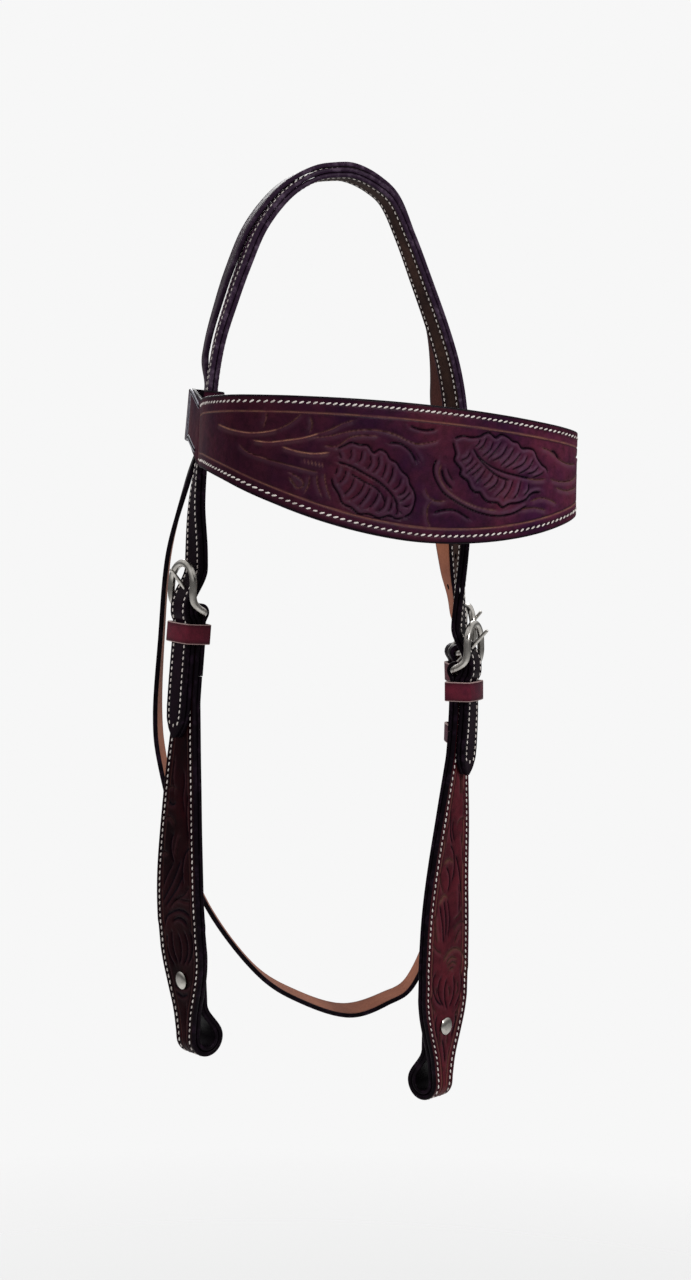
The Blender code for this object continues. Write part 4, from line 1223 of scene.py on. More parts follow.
def fan(rib: tuple[tuple[float, float], ...], rim: tuple[tuple[float, float], ...], count: int, bow: float,
        reach: tuple[float, float], bevel: float) -> tuple[Stroke, ...]:
    """Cut a leaf's veins.

    Args:
        rib: The middle rib's line.
        rim: The leaf's outline on one side, in the same direction.
        count: How many veins.
        bow: How far each vein bends along the leaf, in millimetres.
        reach: Where each vein starts and ends between rib and rim.
        bevel: The side and width of the slope beside each vein.

    Returns:
        One stroke for each vein.
    """
    lines = [Tooling.curve(line) for line in (rib, rim)]
    chord = lines[0][-1] - lines[0][0]
    veins = []
    for index in range(count):
        share = (index + 0.5) / count
        ends = [line[min(int(share * len(line)), len(line) - 1)] for line in lines]
        root, tip = (ends[0] + (ends[1] - ends[0]) * place for place in reach)
        middle = (root + tip) / 2 + chord / np.linalg.norm(chord) * bow
        wobble = HAND.normal(0, 0.4, (3, 2))
        path = tuple(map(tuple, np.array([root, middle, tip]) + wobble))
        veins.append(Stroke(path, 0.45, 0.5, bevel, 0.9, 0.0, 1.0))
    return tuple(veins)


class Tooling:
    """Presses strokes, stitch channels and border lines into a strap's face."""

    def __init__(self, strokes: Sequence[Stroke], lines: Sequence[tuple[int, float, float, float]] = (),
                 span: tuple[float, float] = (-1.0, 1.0), antique_and_painted_shade: Sequence[tuple[float, float]] = ()) -> None:
        """Keep the pattern.

        Args:
            strokes: Cuts and stamps.
            lines: Lines beside an edge: which edge, how far in, how deep, and how rubbed with its painted
                highlight, in millimetres.
            span: Where the lines start and end, in metres.
            antique_and_painted_shade: The share of black dye all over, by distance along, as painted shade.
        """
        self.antique_and_painted_shade = antique_and_painted_shade
        self.strokes = strokes
        self.lines = lines
        self.span = span

    @staticmethod
    def curve(path: tuple[tuple[float, float], ...], steps: int = 7) -> np.ndarray:
        """Run a smooth line through a stroke's points.

        Args:
            path: The points.
            steps: How many steps to each stretch.

        Returns:
            The line's points.
        """
        points = [np.array(point, float) for point in path]
        last = len(points) - 1
        found = [smooth(points[max(index - 1, 0)], points[index], points[index + 1],
                        points[min(index + 2, last)], step / steps)
                 for index in range(last) for step in range(steps)]
        return np.array(found + [points[-1]])

    def press(self, marks: np.ndarray, across: np.ndarray, half: np.ndarray) -> tuple[np.ndarray, ...]:
        """Work out the face's relief and antique.

        Args:
            marks: Distances along the strap.
            across: Distances from its middle line.
            half: Half its width at each place.

        Returns:
            Height in metres, and the shares of black dye with painted shade, of rubbed dye that is partly a
            painted highlight, and of painted highlight.
        """
        s, t = marks / MM, across / MM
        height, dye, glow, polish = (np.zeros(len(s)) for _layer in range(4))
        for stroke in self.strokes:
            line = self.curve(stroke.path)
            reach = max(abs(stroke.bevel) * 2.6, stroke.wide * 2.5)
            near = ((s > line[:, 0].min() - reach) & (s < line[:, 0].max() + reach)
                    & (t > line[:, 1].min() - reach) & (t < line[:, 1].max() + reach))
            if not near.any():
                continue
            here = np.stack([s[near], t[near]], -1)
            away = np.full(len(here), 1e9)
            side, place = np.zeros(len(here)), np.zeros(len(here))
            arc = np.concatenate([[0], np.cumsum(np.linalg.norm(np.diff(line, axis=0), axis=1))])
            for index in range(len(line) - 1):
                step = line[index + 1] - line[index]
                size = max(float(step @ step), 1e-9)
                share = np.clip((here - line[index]) @ step / size, 0, 1)
                offset = here - line[index] - share[:, None] * step
                far = np.linalg.norm(offset, axis=1)
                closer = far < away
                away = np.where(closer, far, away)
                side = np.where(closer, np.sign(step[0] * offset[:, 1] - step[1] * offset[:, 0]), side)
                place = np.where(closer, arc[index] + share * math.sqrt(size), place)
            ends = np.clip(np.minimum(place, arc[-1] - place) / 2.2 + 0.25, 0, 1)
            cut = np.exp(-(away / stroke.wide) ** 2) * ends
            slope = np.exp(-away / max(abs(stroke.bevel), 0.1)) * ends
            low = (side * math.copysign(1, stroke.bevel) > 0) * slope if stroke.bevel else 0.0
            lip = np.exp(-((away - 1.3) / 0.95) ** 2) * ends
            high = (side * math.copysign(1, stroke.bevel) <= 0) * lip if stroke.bevel else 0.0 * lip
            height[near] += -stroke.deep * cut - stroke.deep * 0.8 * low + stroke.deep * 0.35 * high
            dye[near] = np.maximum(dye[near], stroke.ink * (cut + 0.4 * low))
            glow[near] = np.maximum(glow[near], stroke.glow * np.maximum(cut, 0.1 * high))
            # The raised lip gets a painted highlight
            polish[near] = np.maximum(polish[near], stroke.painted_highlight_share * high)
        start, end = self.span
        inside = np.clip((marks - start) / LINE_FADE, 0, 1) * np.clip((end - marks) / LINE_FADE, 0, 1)
        # Border lines: black dye beside them, and a pale rubbed line that is partly a painted highlight
        for edge, inset, deep, rubbed in self.lines:
            away = (half / MM - inset) - edge * t
            cut = np.exp(-(away / (0.4 if rubbed else 0.7)) ** 2) * inside
            height -= deep * cut
            antique_and_painted_shade = 0.8 * np.exp(-((away - 0.6) / 0.45) ** 2) if rubbed else 0.7 * np.exp(-(away / 1.5) ** 2)
            dye = np.maximum(dye, antique_and_painted_shade * inside)
            glow = np.maximum(glow, rubbed * cut)
        # Painted shade: black dye over the whole face, darker towards the off end
        if self.antique_and_painted_shade:
            dye = np.maximum(dye, np.interp(marks, *zip(*self.antique_and_painted_shade)))
        return height * MM, np.clip(dye, 0, 1) * (1 - 0.8 * glow), np.clip(glow, 0, 1), np.clip(polish, 0, 1)


def turned(spot: Spot, along: float, out: float, radius: float, start: float, end: float, width: float,
           steps: int) -> list[Station]:
    """Lay rows round an arc in the plane of along and out.

    Args:
        spot: Where the arc is.
        along: The arc's middle, along the strap.
        out: The arc's middle, outwards.
        radius: The arc's radius.
        start: Its first angle in degrees, from outwards.
        end: Its last angle.
        width: The strap's width there.
        steps: How many rows after the first.

    Returns:
        The rows.
    """
    rows = []
    for index in range(steps + 1):
        angle = math.radians(start + (end - start) * index / steps)
        place = spot.place(along - radius * math.sin(angle), out + radius * math.cos(angle))
        rows.append(Station(place, spot.rear, width))
    return rows


def beside(rows: list[Station], distance: float, toward: Vector) -> list[Station]:
    """Move rows square to their own line.

    Args:
        rows: The rows.
        distance: How far they move.
        toward: The side that they move to.

    Returns:
        The moved rows.
    """
    last = len(rows) - 1
    moved = []
    for index, row in enumerate(rows):
        along = rows[min(index + 1, last)].point - rows[max(index - 1, 0)].point
        out = along.cross(row.way).normalized()
        shift = out * (distance if out.dot(toward) > 0 else -distance)
        moved.append(Station(row.point + shift, row.way, row.width))
    return moved


def roll_radius(ply: float) -> float:
    """Return the middle radius of a ply folded round a buckle's bar."""
    return WIRE_RADIUS + BAR_CLEARANCE + ply / 2


def report(piece: bpy.types.Object, body: str, *nodes: str, slot: str | None = None,
           flex: tuple[Vector, Vector] | None = None) -> None:
    """Hang a piece on its body, or bake it where it lies when flex is given, and log it.

    Args:
        piece: The piece.
        body: The body that it moves with.
        nodes: CAD nodes that it stands for.
        slot: The record's material slot; not used.
        flex: Two points whose values are not used; when given, the piece is baked where it lies instead of
            hung on its body.
    """
    if flex:
        tuple(flex[0])
        tuple(flex[1])
        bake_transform(piece)
    else:
        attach(piece, body)
    if nodes:
        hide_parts(*nodes)
    LOG.info("%s is on %s, %d faces", piece.name, body, len(piece.data.polygons))


@dataclass
class Crown:
    """The crown strap, its lining and the throatlatch's run over them."""

    spine: Route
    stitcher: Stitcher
    step: float = 1.5 * MM

    @property
    def seat(self) -> float:
        """Return the distance along the spine of the crown's middle."""
        return (self.spine.mark("off_seat") + self.spine.mark("near_seat")) / 2

    def build(self) -> None:
        """Make the two sewn plies and the strap that lies over them."""
        start, end = self.spine.mark("off_flex") + INTO_LOOP, self.spine.mark("near_flex") - INTO_LOOP
        places = stops(start, end, 4 * MM)
        middle = len(places) // 2
        for node, side, slot, coats in (
                ("crown_strap", 1, "strap_leather", (Coat.CROWN, Coat.PLUM_EDGE, Coat.LINING)),
                ("crown_lining", -1, "lining_leather", (Coat.LINING, Coat.PLUM_EDGE, Coat.CROWN))):
            rows = []
            for distance in places:
                spot = self.spine.spot(distance)
                rows.append(Station(spot.place(0, side * CROWN_MIDDLE), spot.rear, STRAP_WIDTH))
            course = Course(rows, self.step, UP * side, at=middle)
            channel = Tooling((), pair(CROWN_SEAM / MM, 0.3))
            piece = sweep(node + "_leather", course, flat_section(CROWN_PLY, 22, 4), coats, channel.press)
            report(piece, "crown", node, slot=slot)
            sewn = edge_rows(course, 0, course.marks[-1], CROWN_PITCH, CROWN_SEAM)
            report(self.stitcher.sew(node + "_stitches", course, sewn, *CROWN_STITCH), "crown")
        rows = [self.poll_row(distance) for distance in places]
        course = Course(rows, self.step, UP, at=middle)
        crease = Tooling((), pair(*CREASE))
        piece = sweep("poll_strap_leather", course, flat_section(THROAT_PLY, 22, 6),
                      (Coat.CROWN, Coat.PLUM_EDGE, Coat.DARKER_FLESH), crease.press)
        report(piece, "crown", "throatlatch_poll_strap", slot="strap_leather")

    def poll_row(self, distance: float) -> Station:
        """Lay a row of the strap over the crown, slid back towards the loops.

        Args:
            distance: The distance along the spine.

        Returns:
            The row.
        """
        loops = (self.spine.mark("off_rise"), self.spine.mark("near_rise"))
        spot, seat = self.spine.spot(distance), self.seat
        height = THROAT_OVER_CROWN
        if distance < seat:
            share = (seat - distance) / (seat - loops[0])
            shift = OFF_THROAT_SHIFT * flow(OFF_SLIDE_SHARES, share)
            height += (OFF_THROAT_LIFT - THROAT_OVER_CROWN) * between(OFF_LIFT_SHARES, share, True)
        else:
            shift = NEAR_THROAT_SHIFT * flow(NEAR_SLIDE_SHARES, (distance - seat) / (loops[1] - seat))
        return Station(spot.place(0, height, shift), spot.rear, STRAP_WIDTH)


@dataclass
class Billet:
    """A strap end that passes through a buckle and lies under the keeper."""

    side: Side
    tail: float
    top: float
    half: float

    def middle(self, below: float) -> float:
        """Find how far out the billet's middle is.

        Args:
            below: The distance below the bar.

        Returns:
            The distance from the route, outwards.
        """
        over_roll = self.side.bar_out + roll_radius(CHEEK_PLY) + CHEEK_PLY / 2 + REST_GAP + self.half
        on_face = self.side.face + CHEEK_PLY / 2 + REST_GAP + self.half
        return between((
            (-FRAME_RISE * 2.3, 0.0),
            (-FRAME_RISE, UNDER_ARCH),
            (-FRAME_RISE + WIRE_RADIUS, UNDER_ARCH),
            (-WIRE_RADIUS * 1.5, over_roll),
            (WIRE_RADIUS * 0.4, over_roll),
            (KEEPER_BELOW_BAR - KEEPER_HEIGHT / 2, on_face),
        ), below, eased=True)

    def width(self, below: float) -> float:
        """Read the billet's outline, which is pointed at its end.

        Args:
            below: The distance below the bar.

        Returns:
            The width there.
        """
        start = self.tail - BILLET_POINT
        return STRAP_WIDTH * between(((start, 1.0), (start + BILLET_POINT * 0.4, 0.92),
                                      (start + BILLET_POINT * 0.75, 0.6), (self.tail, 0.16)), below)

    def rows(self) -> list[Station]:
        """Return the billet's rows, closer together at its point."""
        start = self.tail - BILLET_POINT
        places = stops(self.top, start, 2.5 * MM) + stops(start, self.tail, 1.5 * MM)[1:]
        return self.side.stations(places, self.middle, self.width)

    def punch_holes(self, piece: bpy.types.Object, spare: int) -> None:
        """Punch the tongue's hole and the spare holes above the buckle.

        Args:
            piece: The billet.
            spare: How many spare holes.
        """
        middle, ahead, aside, rear = tongue_ways(self.side)
        radius = WIRE_RADIUS + BAR_CLEARANCE + TONGUE_RADIUS
        turn = Matrix((rear, aside, ahead)).transposed().to_4x4()
        centre = middle + aside * radius + ahead * (TONGUE_LENGTH / 2 + WIRE_RADIUS)
        punch(piece, Matrix.Translation(centre) @ turn, TONGUE_RADIUS + BAR_CLEARANCE,
              TONGUE_RADIUS + TONGUE_PLAY, TONGUE_LENGTH)
        for count in range(1, spare + 1):
            below = -BILLET_HOLE_PITCH * count - FRAME_RISE / 2
            spot = self.side.spot(below)
            punch(piece, spot.matrix(self.middle(below)), BILLET_HOLE_RADIUS, BILLET_HOLE_RADIUS, STRAP_WIDTH)


def tongue_ways(side: Side) -> tuple[Vector, Vector, Vector, Vector]:
    """Find how a buckle's tongue lies.

    Args:
        side: The buckle's strap.

    Returns:
        The bar's middle, and the ways ahead, aside and across.
    """
    spot = side.spot(0)
    tilt = math.radians(TONGUE_TILT)
    ahead = spot.out * math.sin(tilt) - spot.along * math.cos(tilt)
    aside = -spot.out * math.cos(tilt) - spot.along * math.sin(tilt)
    return spot.place(0, side.bar_out), ahead, aside, spot.rear


def cheek_width(below: float) -> float:
    """Read the cheek's outline.

    Args:
        below: The distance below the bar.

    Returns:
        The width there.
    """
    share = below / CHEEK_LENGTH
    if share <= CHEEK_SWELL_SHARES[-1][0]:
        narrow = ROLL_WIDTH + (CHEEK_TOP_WIDTH - ROLL_WIDTH) * min(1, max(0, share / 0.05))
        return narrow + (CHEEK_WIDEST - CHEEK_TOP_WIDTH) * flow(CHEEK_SWELL_SHARES, share)
    if share <= CHEEK_TAPER_SHARES[-1][0]:
        return CHEEK_WIDEST - (CHEEK_WIDEST - BIT_FOLD_WIDTH) * flow(CHEEK_TAPER_SHARES, share)
    return BIT_FOLD_WIDTH


def turnback_width(below: float) -> float:
    """Return the width of the end that is folded behind."""
    return ROLL_WIDTH + (CHEEK_TOP_WIDTH - ROLL_WIDTH) * min(1, max(0, below / (CHEEK_LENGTH * 0.05)))


NEAR_CHEEK_CUTS = (
    Stroke(((86, 2), (84, 4), (83, 7), (84.5, 9.5)), glow=0.35, bevel=-1.4),
    Stroke(((66, 5), (72, 6.5), (80, 7.5), (84, 7)), deep=0.25, ink=0.6),
    Stroke(((78, -6), (85, -5), (92, -4), (97, -1.5))),
    Stroke(((84, -2.5), (90, -2), (96, 0.5))),
    Stroke(((108, -7), (106.5, -5), (106, -2), (107.5, 0.5)), glow=0.5, wide=0.7),
    Stroke(((98, -3), (102, 0.5), (108, 2), (114, 2.2), (119, 1))),
    Stroke(((104, 3), (110, 6), (118, 8.5), (126, 10))),
    Stroke(((110, -5), (114, -2), (119, -1), (124, -2))),
    Stroke(((130.5, -9), (127.5, -7), (126, -4.5), (127, -2.5)), glow=0.6, wide=0.7),
    Stroke(((131, -8.5), (136, -7), (143, -5), (152, -4))),
    Stroke(((129, -5), (136, -3), (143, -2), (149, -2))),
    Stroke(((128, -2), (134, 0), (141, 1), (150, 0)), ink=0.7),
    Stroke(((147, 5), (143.5, 8), (142.5, 12), (144, 15), (150, 17.5)), deep=0.3, ink=0.6, glow=0.15),
    Stroke(((120, 7), (128, 8.5), (138, 9)), deep=0.25, ink=0.6),
    Stroke(((162.5, -3), (159, 0.5), (157, 4.5), (157, 8), (158.5, 11.5), (162, 15), (168, 17), (175, 17)),
           wide=0.75, glow=0.45, bevel=2.2),
    Stroke(((164.5, -0.5), (162.4, 2), (161.6, 5), (163, 8.5)), glow=0.4),
    Stroke(((166.6, 0.6), (165, 3), (164.4, 5.5), (166, 8.5)), glow=0.35),
    Stroke(((168.6, 2), (167.5, 4), (167.6, 6.5)), glow=0.3),
    Stroke(((168, -10), (173, -12), (179, -11), (184, -8), (187, -4))),
    Stroke(((171, -5), (176, -7), (182, -6), (188, -2))),
    Stroke(((173, 0), (178, -1.5), (184, -1), (190, 1))),
    Stroke(((172, 6), (178, 7), (184, 6), (189, 3))),
    Stroke(((170, 12), (176, 13.5), (183, 12.5), (190, 8))),
    Stroke(((177, 1.5), (180, 3), (183, 2.5)), glow=0.2),
    Stroke(((176, -9.5), (179, -8.5), (181, -9)), glow=0.2),
    Stroke(((176, 9.5), (180, 10.5), (183, 9)), glow=0.2),
    Stroke(((192, -8), (198, -9), (205, -7)), deep=0.3),
    Stroke(((192, 9), (198, 8.5), (206, 5)), deep=0.3),
    Stroke(((206, -3), (212, -1), (219, 0)), deep=0.3),
    *(Stroke(path, 0.5, 0.45, bevel, 0.9, 0.25) for bevel, path in (
        (1.6, ((50, -1), (60, 1), (70, 2.4))),
        (-1.6, ((54, 4), (62, 3), (70, 4.4))),
        (1.6, ((92, 6), (100, 8.4), (110, 11))),
        (-1.6, ((88, -7.4), (96, -9), (104, -11))),
        (1.6, ((112, -11), (118, -9), (124, -6))),
        (1.4, ((134, 12.4), (138, 9), (140, 5))),
        (-1.6, ((136, -12), (144, -11), (152, -9))),
        (1.6, ((152, -13.4), (156, -9), (158, -5))),
        (-1.4, ((146, 11), (150, 8), (154, 6.4))),
        (1.6, ((180, -14), (186, -12), (190, -9))),
        (-1.6, ((186, 14), (192, 11), (196, 8))),
        (1.4, ((198, 4), (204, 2), (210, 1.6))),
        (-1.4, ((196, -3), (202, -4.4), (210, -4))),
        (1.4, ((212, 4), (218, 3), (224, 2))),
    )),
)
OFF_CHEEK_CUTS = (
    Stroke(((96.5, 2), (95.5, 5), (95.8, 8), (97, 10.5)), glow=0.45),
    Stroke(((103.5, 2), (105, 5), (104.5, 8), (102.5, 10))),
    Stroke(((115, 3), (112.5, 6), (112, 9.5), (114.5, 13)), glow=0.4),
    Stroke(((86, -4), (92, -5), (100, -4), (108, -6)), ink=0.7),
    Stroke(((98, -9), (106, -8), (114, -9), (122, -11)), ink=0.7),
    Stroke(((120, 3), (124, 5), (130, 5), (136, 2))),
    Stroke(((132.5, 8), (131.5, 11), (132, 14), (133.5, 16)), glow=0.35),
    Stroke(((126, -12), (130, -8), (138, -6), (146, -7))),
    Stroke(((134, -4), (143, 1), (151, 7), (158, 13)), deep=0.35),
    Stroke(((140, -7), (148, -2), (154, 4), (160, 10)), deep=0.35),
    Stroke(((147, -12), (152, -7), (155, 0), (160, 6)), glow=0.2),
    Stroke(((154.5, -13), (155, -8), (155, -2), (157, 3)), glow=0.25),
    Stroke(((136, 3), (144, 9), (151, 13)), ink=0.8),
    Stroke(((163, -12), (161, -7), (161, -1), (163, 5), (166, 10), (172, 13)), wide=0.7),
    Stroke(((168, -9), (165.5, -5), (165.5, 0), (167.5, 4))),
    Stroke(((171, -12), (177, -13), (184, -11), (189, -7))),
    Stroke(((172, -6), (178, -8), (184, -7), (190, -3))),
    Stroke(((174, 0), (179, -1.5), (185, -1), (190, 1))),
    Stroke(((173, 6), (179, 6.5), (185, 5.5), (190, 3))),
    Stroke(((176, 11), (182, 12), (188, 10), (192, 6))),
    Stroke(((200, -8), (203, -3), (204, 3), (203, 8)), deep=0.3, glow=0.15),
    Stroke(((206, -5), (208, 0), (207, 5)), deep=0.3),
    *(Stroke(path, 0.5, 0.45, bevel, 0.9, 0.3) for bevel, path in (
        (1.6, ((80, 5), (90, 6), (99, 4))),
        (-1.6, ((84, -8), (92, -9), (100, -12))),
        (1.6, ((108, 12), (118, 14), (126, 12))),
        (-1.6, ((120, -3), (126, -1), (132, 0.6))),
        (1.6, ((140, 16), (147, 17), (154, 16.4))),
        (1.4, ((138, -13), (143, -14.6), (150, -15))),
        (-1.4, ((194, -4), (199, -2), (203, -3))),
        (1.4, ((194, 12), (200, 10), (206, 8))),
        (1.4, ((212, -3), (218, -2), (224, -2))),
    )),
)


@dataclass
class Cheek:
    """A cheekpiece: tooled strap, lining, both folded into the bit loop, and their stitches."""

    side: Side
    billet: Billet
    cuts: Sequence[Stroke]
    stitcher: Stitcher
    flex: float
    coat: Coat
    seam: float = 3.1 * MM
    pitch: float = 3.3 * MM

    def __post_init__(self) -> None:
        """Work out the bit loop's fold and the tail behind it."""
        self.body = self.side.name + "_cheek"
        self.fold_radius = BIT_FOLD_INSIDE + CHEEK_LINING_PLY + PLY_GAP + CHEEK_PLY / 2
        self.centre = CHEEK_LENGTH - self.fold_radius - CHEEK_PLY / 2
        self.fold = self.side.spot(self.centre)
        self.tail_end = SCREW_BELOW_BAR - TAIL_ABOVE_SCREW

    def bit_loop(self, radius: float, tail: float) -> list[Station]:
        """Lay the rows of one ply's fold and of its tail behind the cheek.

        Args:
            radius: The fold's radius at the ply's middle.
            tail: How far out the tail's middle is.

        Returns:
            The rows.
        """
        fold_out = self.side.face - self.fold_radius
        table = ((self.tail_end, tail), (SCREW_BELOW_BAR + TAIL_ABOVE_SCREW, tail),
                 (self.centre, fold_out - radius))
        rows = turned(self.fold, 0, fold_out, radius, 0, -180, BIT_FOLD_WIDTH, 12)[1:]
        return rows + self.side.stations(stops(self.centre, self.tail_end)[1:],
                                         lambda below: between(table, below, True),
                                         lambda below: BIT_FOLD_WIDTH)

    def finish(self, piece: bpy.types.Object, node: str, slot: str, course: Course,
               sewn: list[tuple[np.ndarray, np.ndarray]], out: float) -> None:
        """Punch the screw's hole through a ply, hang it on the cheek and sew it.

        Args:
            piece: The ply.
            node: The CAD node that it stands for.
            slot: Its material slot.
            course: Where it runs.
            sewn: Its rows of stitches.
            out: Half its thickness.
        """
        punch(piece, self.side.spot(SCREW_BELOW_BAR).matrix(), POST_RADIUS + BAR_CLEARANCE,
              POST_RADIUS + BAR_CLEARANCE, HANG / 10)
        report(piece, self.body, node, slot=slot)
        name = piece.name.replace("_leather", "_stitches")
        report(self.stitcher.sew(name, course, sewn, out - SUNK_THREAD), self.body)

    def build(self) -> None:
        """Make the strap, its lining, their stitches and the billet's two plies."""
        side = self.side
        start = 2 * CHEEK_PLY
        rows = side.folded(TURNBACK, start, turnback_width)
        first = len(rows)
        rows += side.stations(stops(start, self.centre), lambda below: side.face, cheek_width)
        last = len(rows) - 1
        rows += self.bit_loop(self.fold_radius, TAIL_FACE)
        out = side.spot(self.centre / 2).out
        course = Course(rows, 0.62 * MM, out, at=(first + last) // 2, zero=(first, start))
        sewn_end = self.centre + self.fold_radius * 1.9
        lines = (*pair(self.seam / MM, 0.3), *pair(6.0, 0.22, 0.28))
        tooling = Tooling(self.cuts, lines, (3 * MM, sewn_end))
        piece = sweep(self.body + "_leather", course, flat_section(CHEEK_PLY, 58, 8),
                      (self.coat, Coat.EDGE, Coat.DARK_LINING), tooling.press)
        side.cut_slot(piece)
        self.finish(piece, side.name + "_cheek_strap", "strap_leather", course,
                    edge_rows(course, 6 * MM, sewn_end, self.pitch, self.seam), CHEEK_PLY / 2)

        top = TURNBACK + PLY_GAP
        rows = side.stations(stops(top, self.centre), lambda below: CHEEK_LINING, cheek_width)
        middle = len(rows) // 2
        rows += self.bit_loop(BIT_FOLD_INSIDE + CHEEK_LINING_PLY / 2, TAIL_LINING)
        course = Course(rows, 1.2 * MM, -out, at=middle, zero=(0, top))
        channel = Tooling((), pair(self.seam / MM, 0.25), (top, self.centre))
        piece = sweep(self.body + "_lining_leather", course, flat_section(CHEEK_LINING_PLY, 30, 8),
                      (Coat.DARK_LINING, Coat.EDGE, Coat.DARK_LINING), channel.press)
        self.finish(piece, side.name + "_cheek_lining", "lining_leather", course,
                    edge_rows(course, top, self.tail_end, self.pitch, self.seam), CHEEK_LINING_PLY / 2)
        self.hang()

    def hang(self) -> None:
        """Make the billet's plies, from inside the browband's loop to their point."""
        side, tail = self.side, self.billet.tail
        rows = self.billet.rows()
        flex = (side.route.spot(self.flex - side.sign * 6 * MM).point,
                side.route.spot(self.flex + side.sign * 8 * MM).point)
        out = side.spot(0).out
        for label, sign, slot, coats in (
                ("_billet", 1, "strap_leather", (Coat.STRAP, Coat.EDGE, Coat.LINING)),
                ("_billet_lining", -1, "lining_leather", (Coat.LINING, Coat.EDGE, Coat.STRAP))):
            node = side.name + label
            plied = beside(rows, sign * CROWN_MIDDLE, out)
            course = Course(plied, 1.2 * MM, out * sign, at=len(plied) * 2 // 3, zero=(0, self.billet.top))
            channel = Tooling((), pair(CROWN_SEAM / MM, 0.28), (-1.0, tail - 5 * MM))
            piece = sweep(node + "_leather", course, flat_section(CROWN_PLY, 22, 4), coats, channel.press)
            self.billet.punch_holes(piece, 2)
            report(piece, self.body, node, slot=slot, flex=flex)
            sewn = edge_rows(course, self.billet.top, tail - 5.5 * MM, CROWN_PITCH, CROWN_SEAM)
            tip = (np.array([tail - 4.2 * MM]), np.array([0.0]))
            stitches = self.stitcher.sew(node + "_stitches", course, [*sewn, tip], *CROWN_STITCH)
            report(stitches, self.body, slot="strap_leather", flex=flex)


@dataclass
class Throatlatch:
    """The hanging throat strap, folded at its buckle, and the billet that fastens it."""

    side: Side
    crown: Crown

    def loop_rows(self, start: float, end: float) -> list[Station]:
        """Return the rows inside a loop, where the poll strap carries the throatlatch on."""
        return [self.crown.poll_row(distance) for distance in stops(start, end, 4 * MM)]

    def build(self) -> None:
        """Make the strap and the billet, each carried up inside its loop."""
        side, route, spine = self.side, self.side.route, self.crown.spine
        start = 2 * THROAT_PLY
        rows = side.folded(THROAT_TURNBACK, start, lambda below: STRAP_WIDTH)
        first = len(rows)
        for distance in stops(side.distance(start), 5 * MM, 5 * MM):
            spot = route.spot(distance)
            rows.append(Station(spot.point, spot.rear, STRAP_WIDTH))
        middle = (first + len(rows)) // 2
        flex = spine.mark("off_flex")
        rows += self.loop_rows(flex + 1 * MM, flex + INTO_LOOP)
        course = Course(rows, 1.5 * MM, -route.spot(side.distance(start) / 2).out, at=middle)
        piece = sweep("throatlatch_leather", course, flat_section(THROAT_PLY, 16, 16),
                      (Coat.FLESH, Coat.EDGE, Coat.STRAP))
        side.cut_slot(piece)
        report(piece, "throatlatch", "throatlatch_strap", slot="throat_leather",
               flex=(route.spot(0).point + UP * 6 * MM, route.spot(8 * MM).point))

        near = route.end()
        billet = Billet(side, THROAT_BILLET_TAIL, -abs(near - side.bar) + 5 * MM, THROAT_PLY / 2)
        flex = spine.mark("near_flex")
        rows = self.loop_rows(flex - INTO_LOOP, flex - 1 * MM) + billet.rows()
        course = Course(rows, 1.2 * MM, side.spot(0).out, at=len(rows) * 2 // 3)
        crease = Tooling((), pair(*CREASE))
        piece = sweep("throatlatch_billet_leather", course, flat_section(THROAT_PLY, 22, 8),
                      (Coat.STRAP, Coat.EDGE, Coat.FLESH), crease.press)
        billet.punch_holes(piece, 1)
        report(piece, "throatlatch", "throatlatch_billet", slot="throat_leather",
               flex=(route.spot(near).point + UP * 6 * MM, route.spot(near - 8 * MM).point))


# Painted shade that darkens the band, darkest near the off end: metres along the band, and the share of black
# dye
BAND_PAINTED_SHADE = ((-0.14, 0.55), (-0.118, 0.6), (-0.1, 0.72), (-0.08, 0.7), (-0.03, 0.5), (0.03, 0.36),
             (0.07, 0.0))

# The right leaf: its rib, its lower and upper outline; then the left leaf's
RIGHT_RIB = ((23, 14.5), (27, 10), (33, 6), (41, 3), (50, 1), (58, -0.5))
RIGHT_LOW = ((11.5, 17.5), (12.7, 14), (13.7, 11), (13, 8), (15.2, 5.5), (17, 3.5), (16.6, 1), (18.5, -0.6),
             (21, -2), (22.5, -5), (25, -7.2), (28, -7.5), (30, -10), (33, -12), (38, -12.4), (41, -14.6),
             (45, -13), (50, -12.5), (55, -11), (57.5, -8.8), (61, -7.4), (65, -7.6))
RIGHT_TOP = ((12, 18.4), (17, 20), (22, 19.6), (27, 20.2), (30, 21.8), (33, 22.2), (36.5, 20), (40, 21.6),
             (44, 20.4), (47, 18.4), (50.5, 17.6), (53, 14.8), (57, 14.8), (61, 13.6), (63, 10), (66, 6.4),
             (69, 4.4), (70, 2))
LEFT_RIB = ((-49, -0.5), (-41, -1.6), (-33, -4.3), (-26, -7), (-20, -11), (-16.4, -15), (-15, -18.5))
LEFT_TOP = ((-50, 5), (-46.5, 7.4), (-43, 9.6), (-38.5, 9.2), (-34.5, 9.6), (-31, 6.6), (-28, 8.6),
            (-24.4, 7.6), (-22, 4.8), (-18.4, 3.4), (-15.4, 0), (-11.6, -2.6), (-10.2, -6), (-8, -8.8),
            (-6.6, -12.4), (-7.2, -17), (-8.6, -20.4), (-12, -22.6))
LEFT_LOW = ((-50, -8), (-48.5, -12), (-45, -16), (-42.5, -20), (-38, -21.4), (-34, -23.8), (-29, -23.2),
            (-24, -24.4), (-19, -22.6), (-15, -23.6), (-11, -22.4))
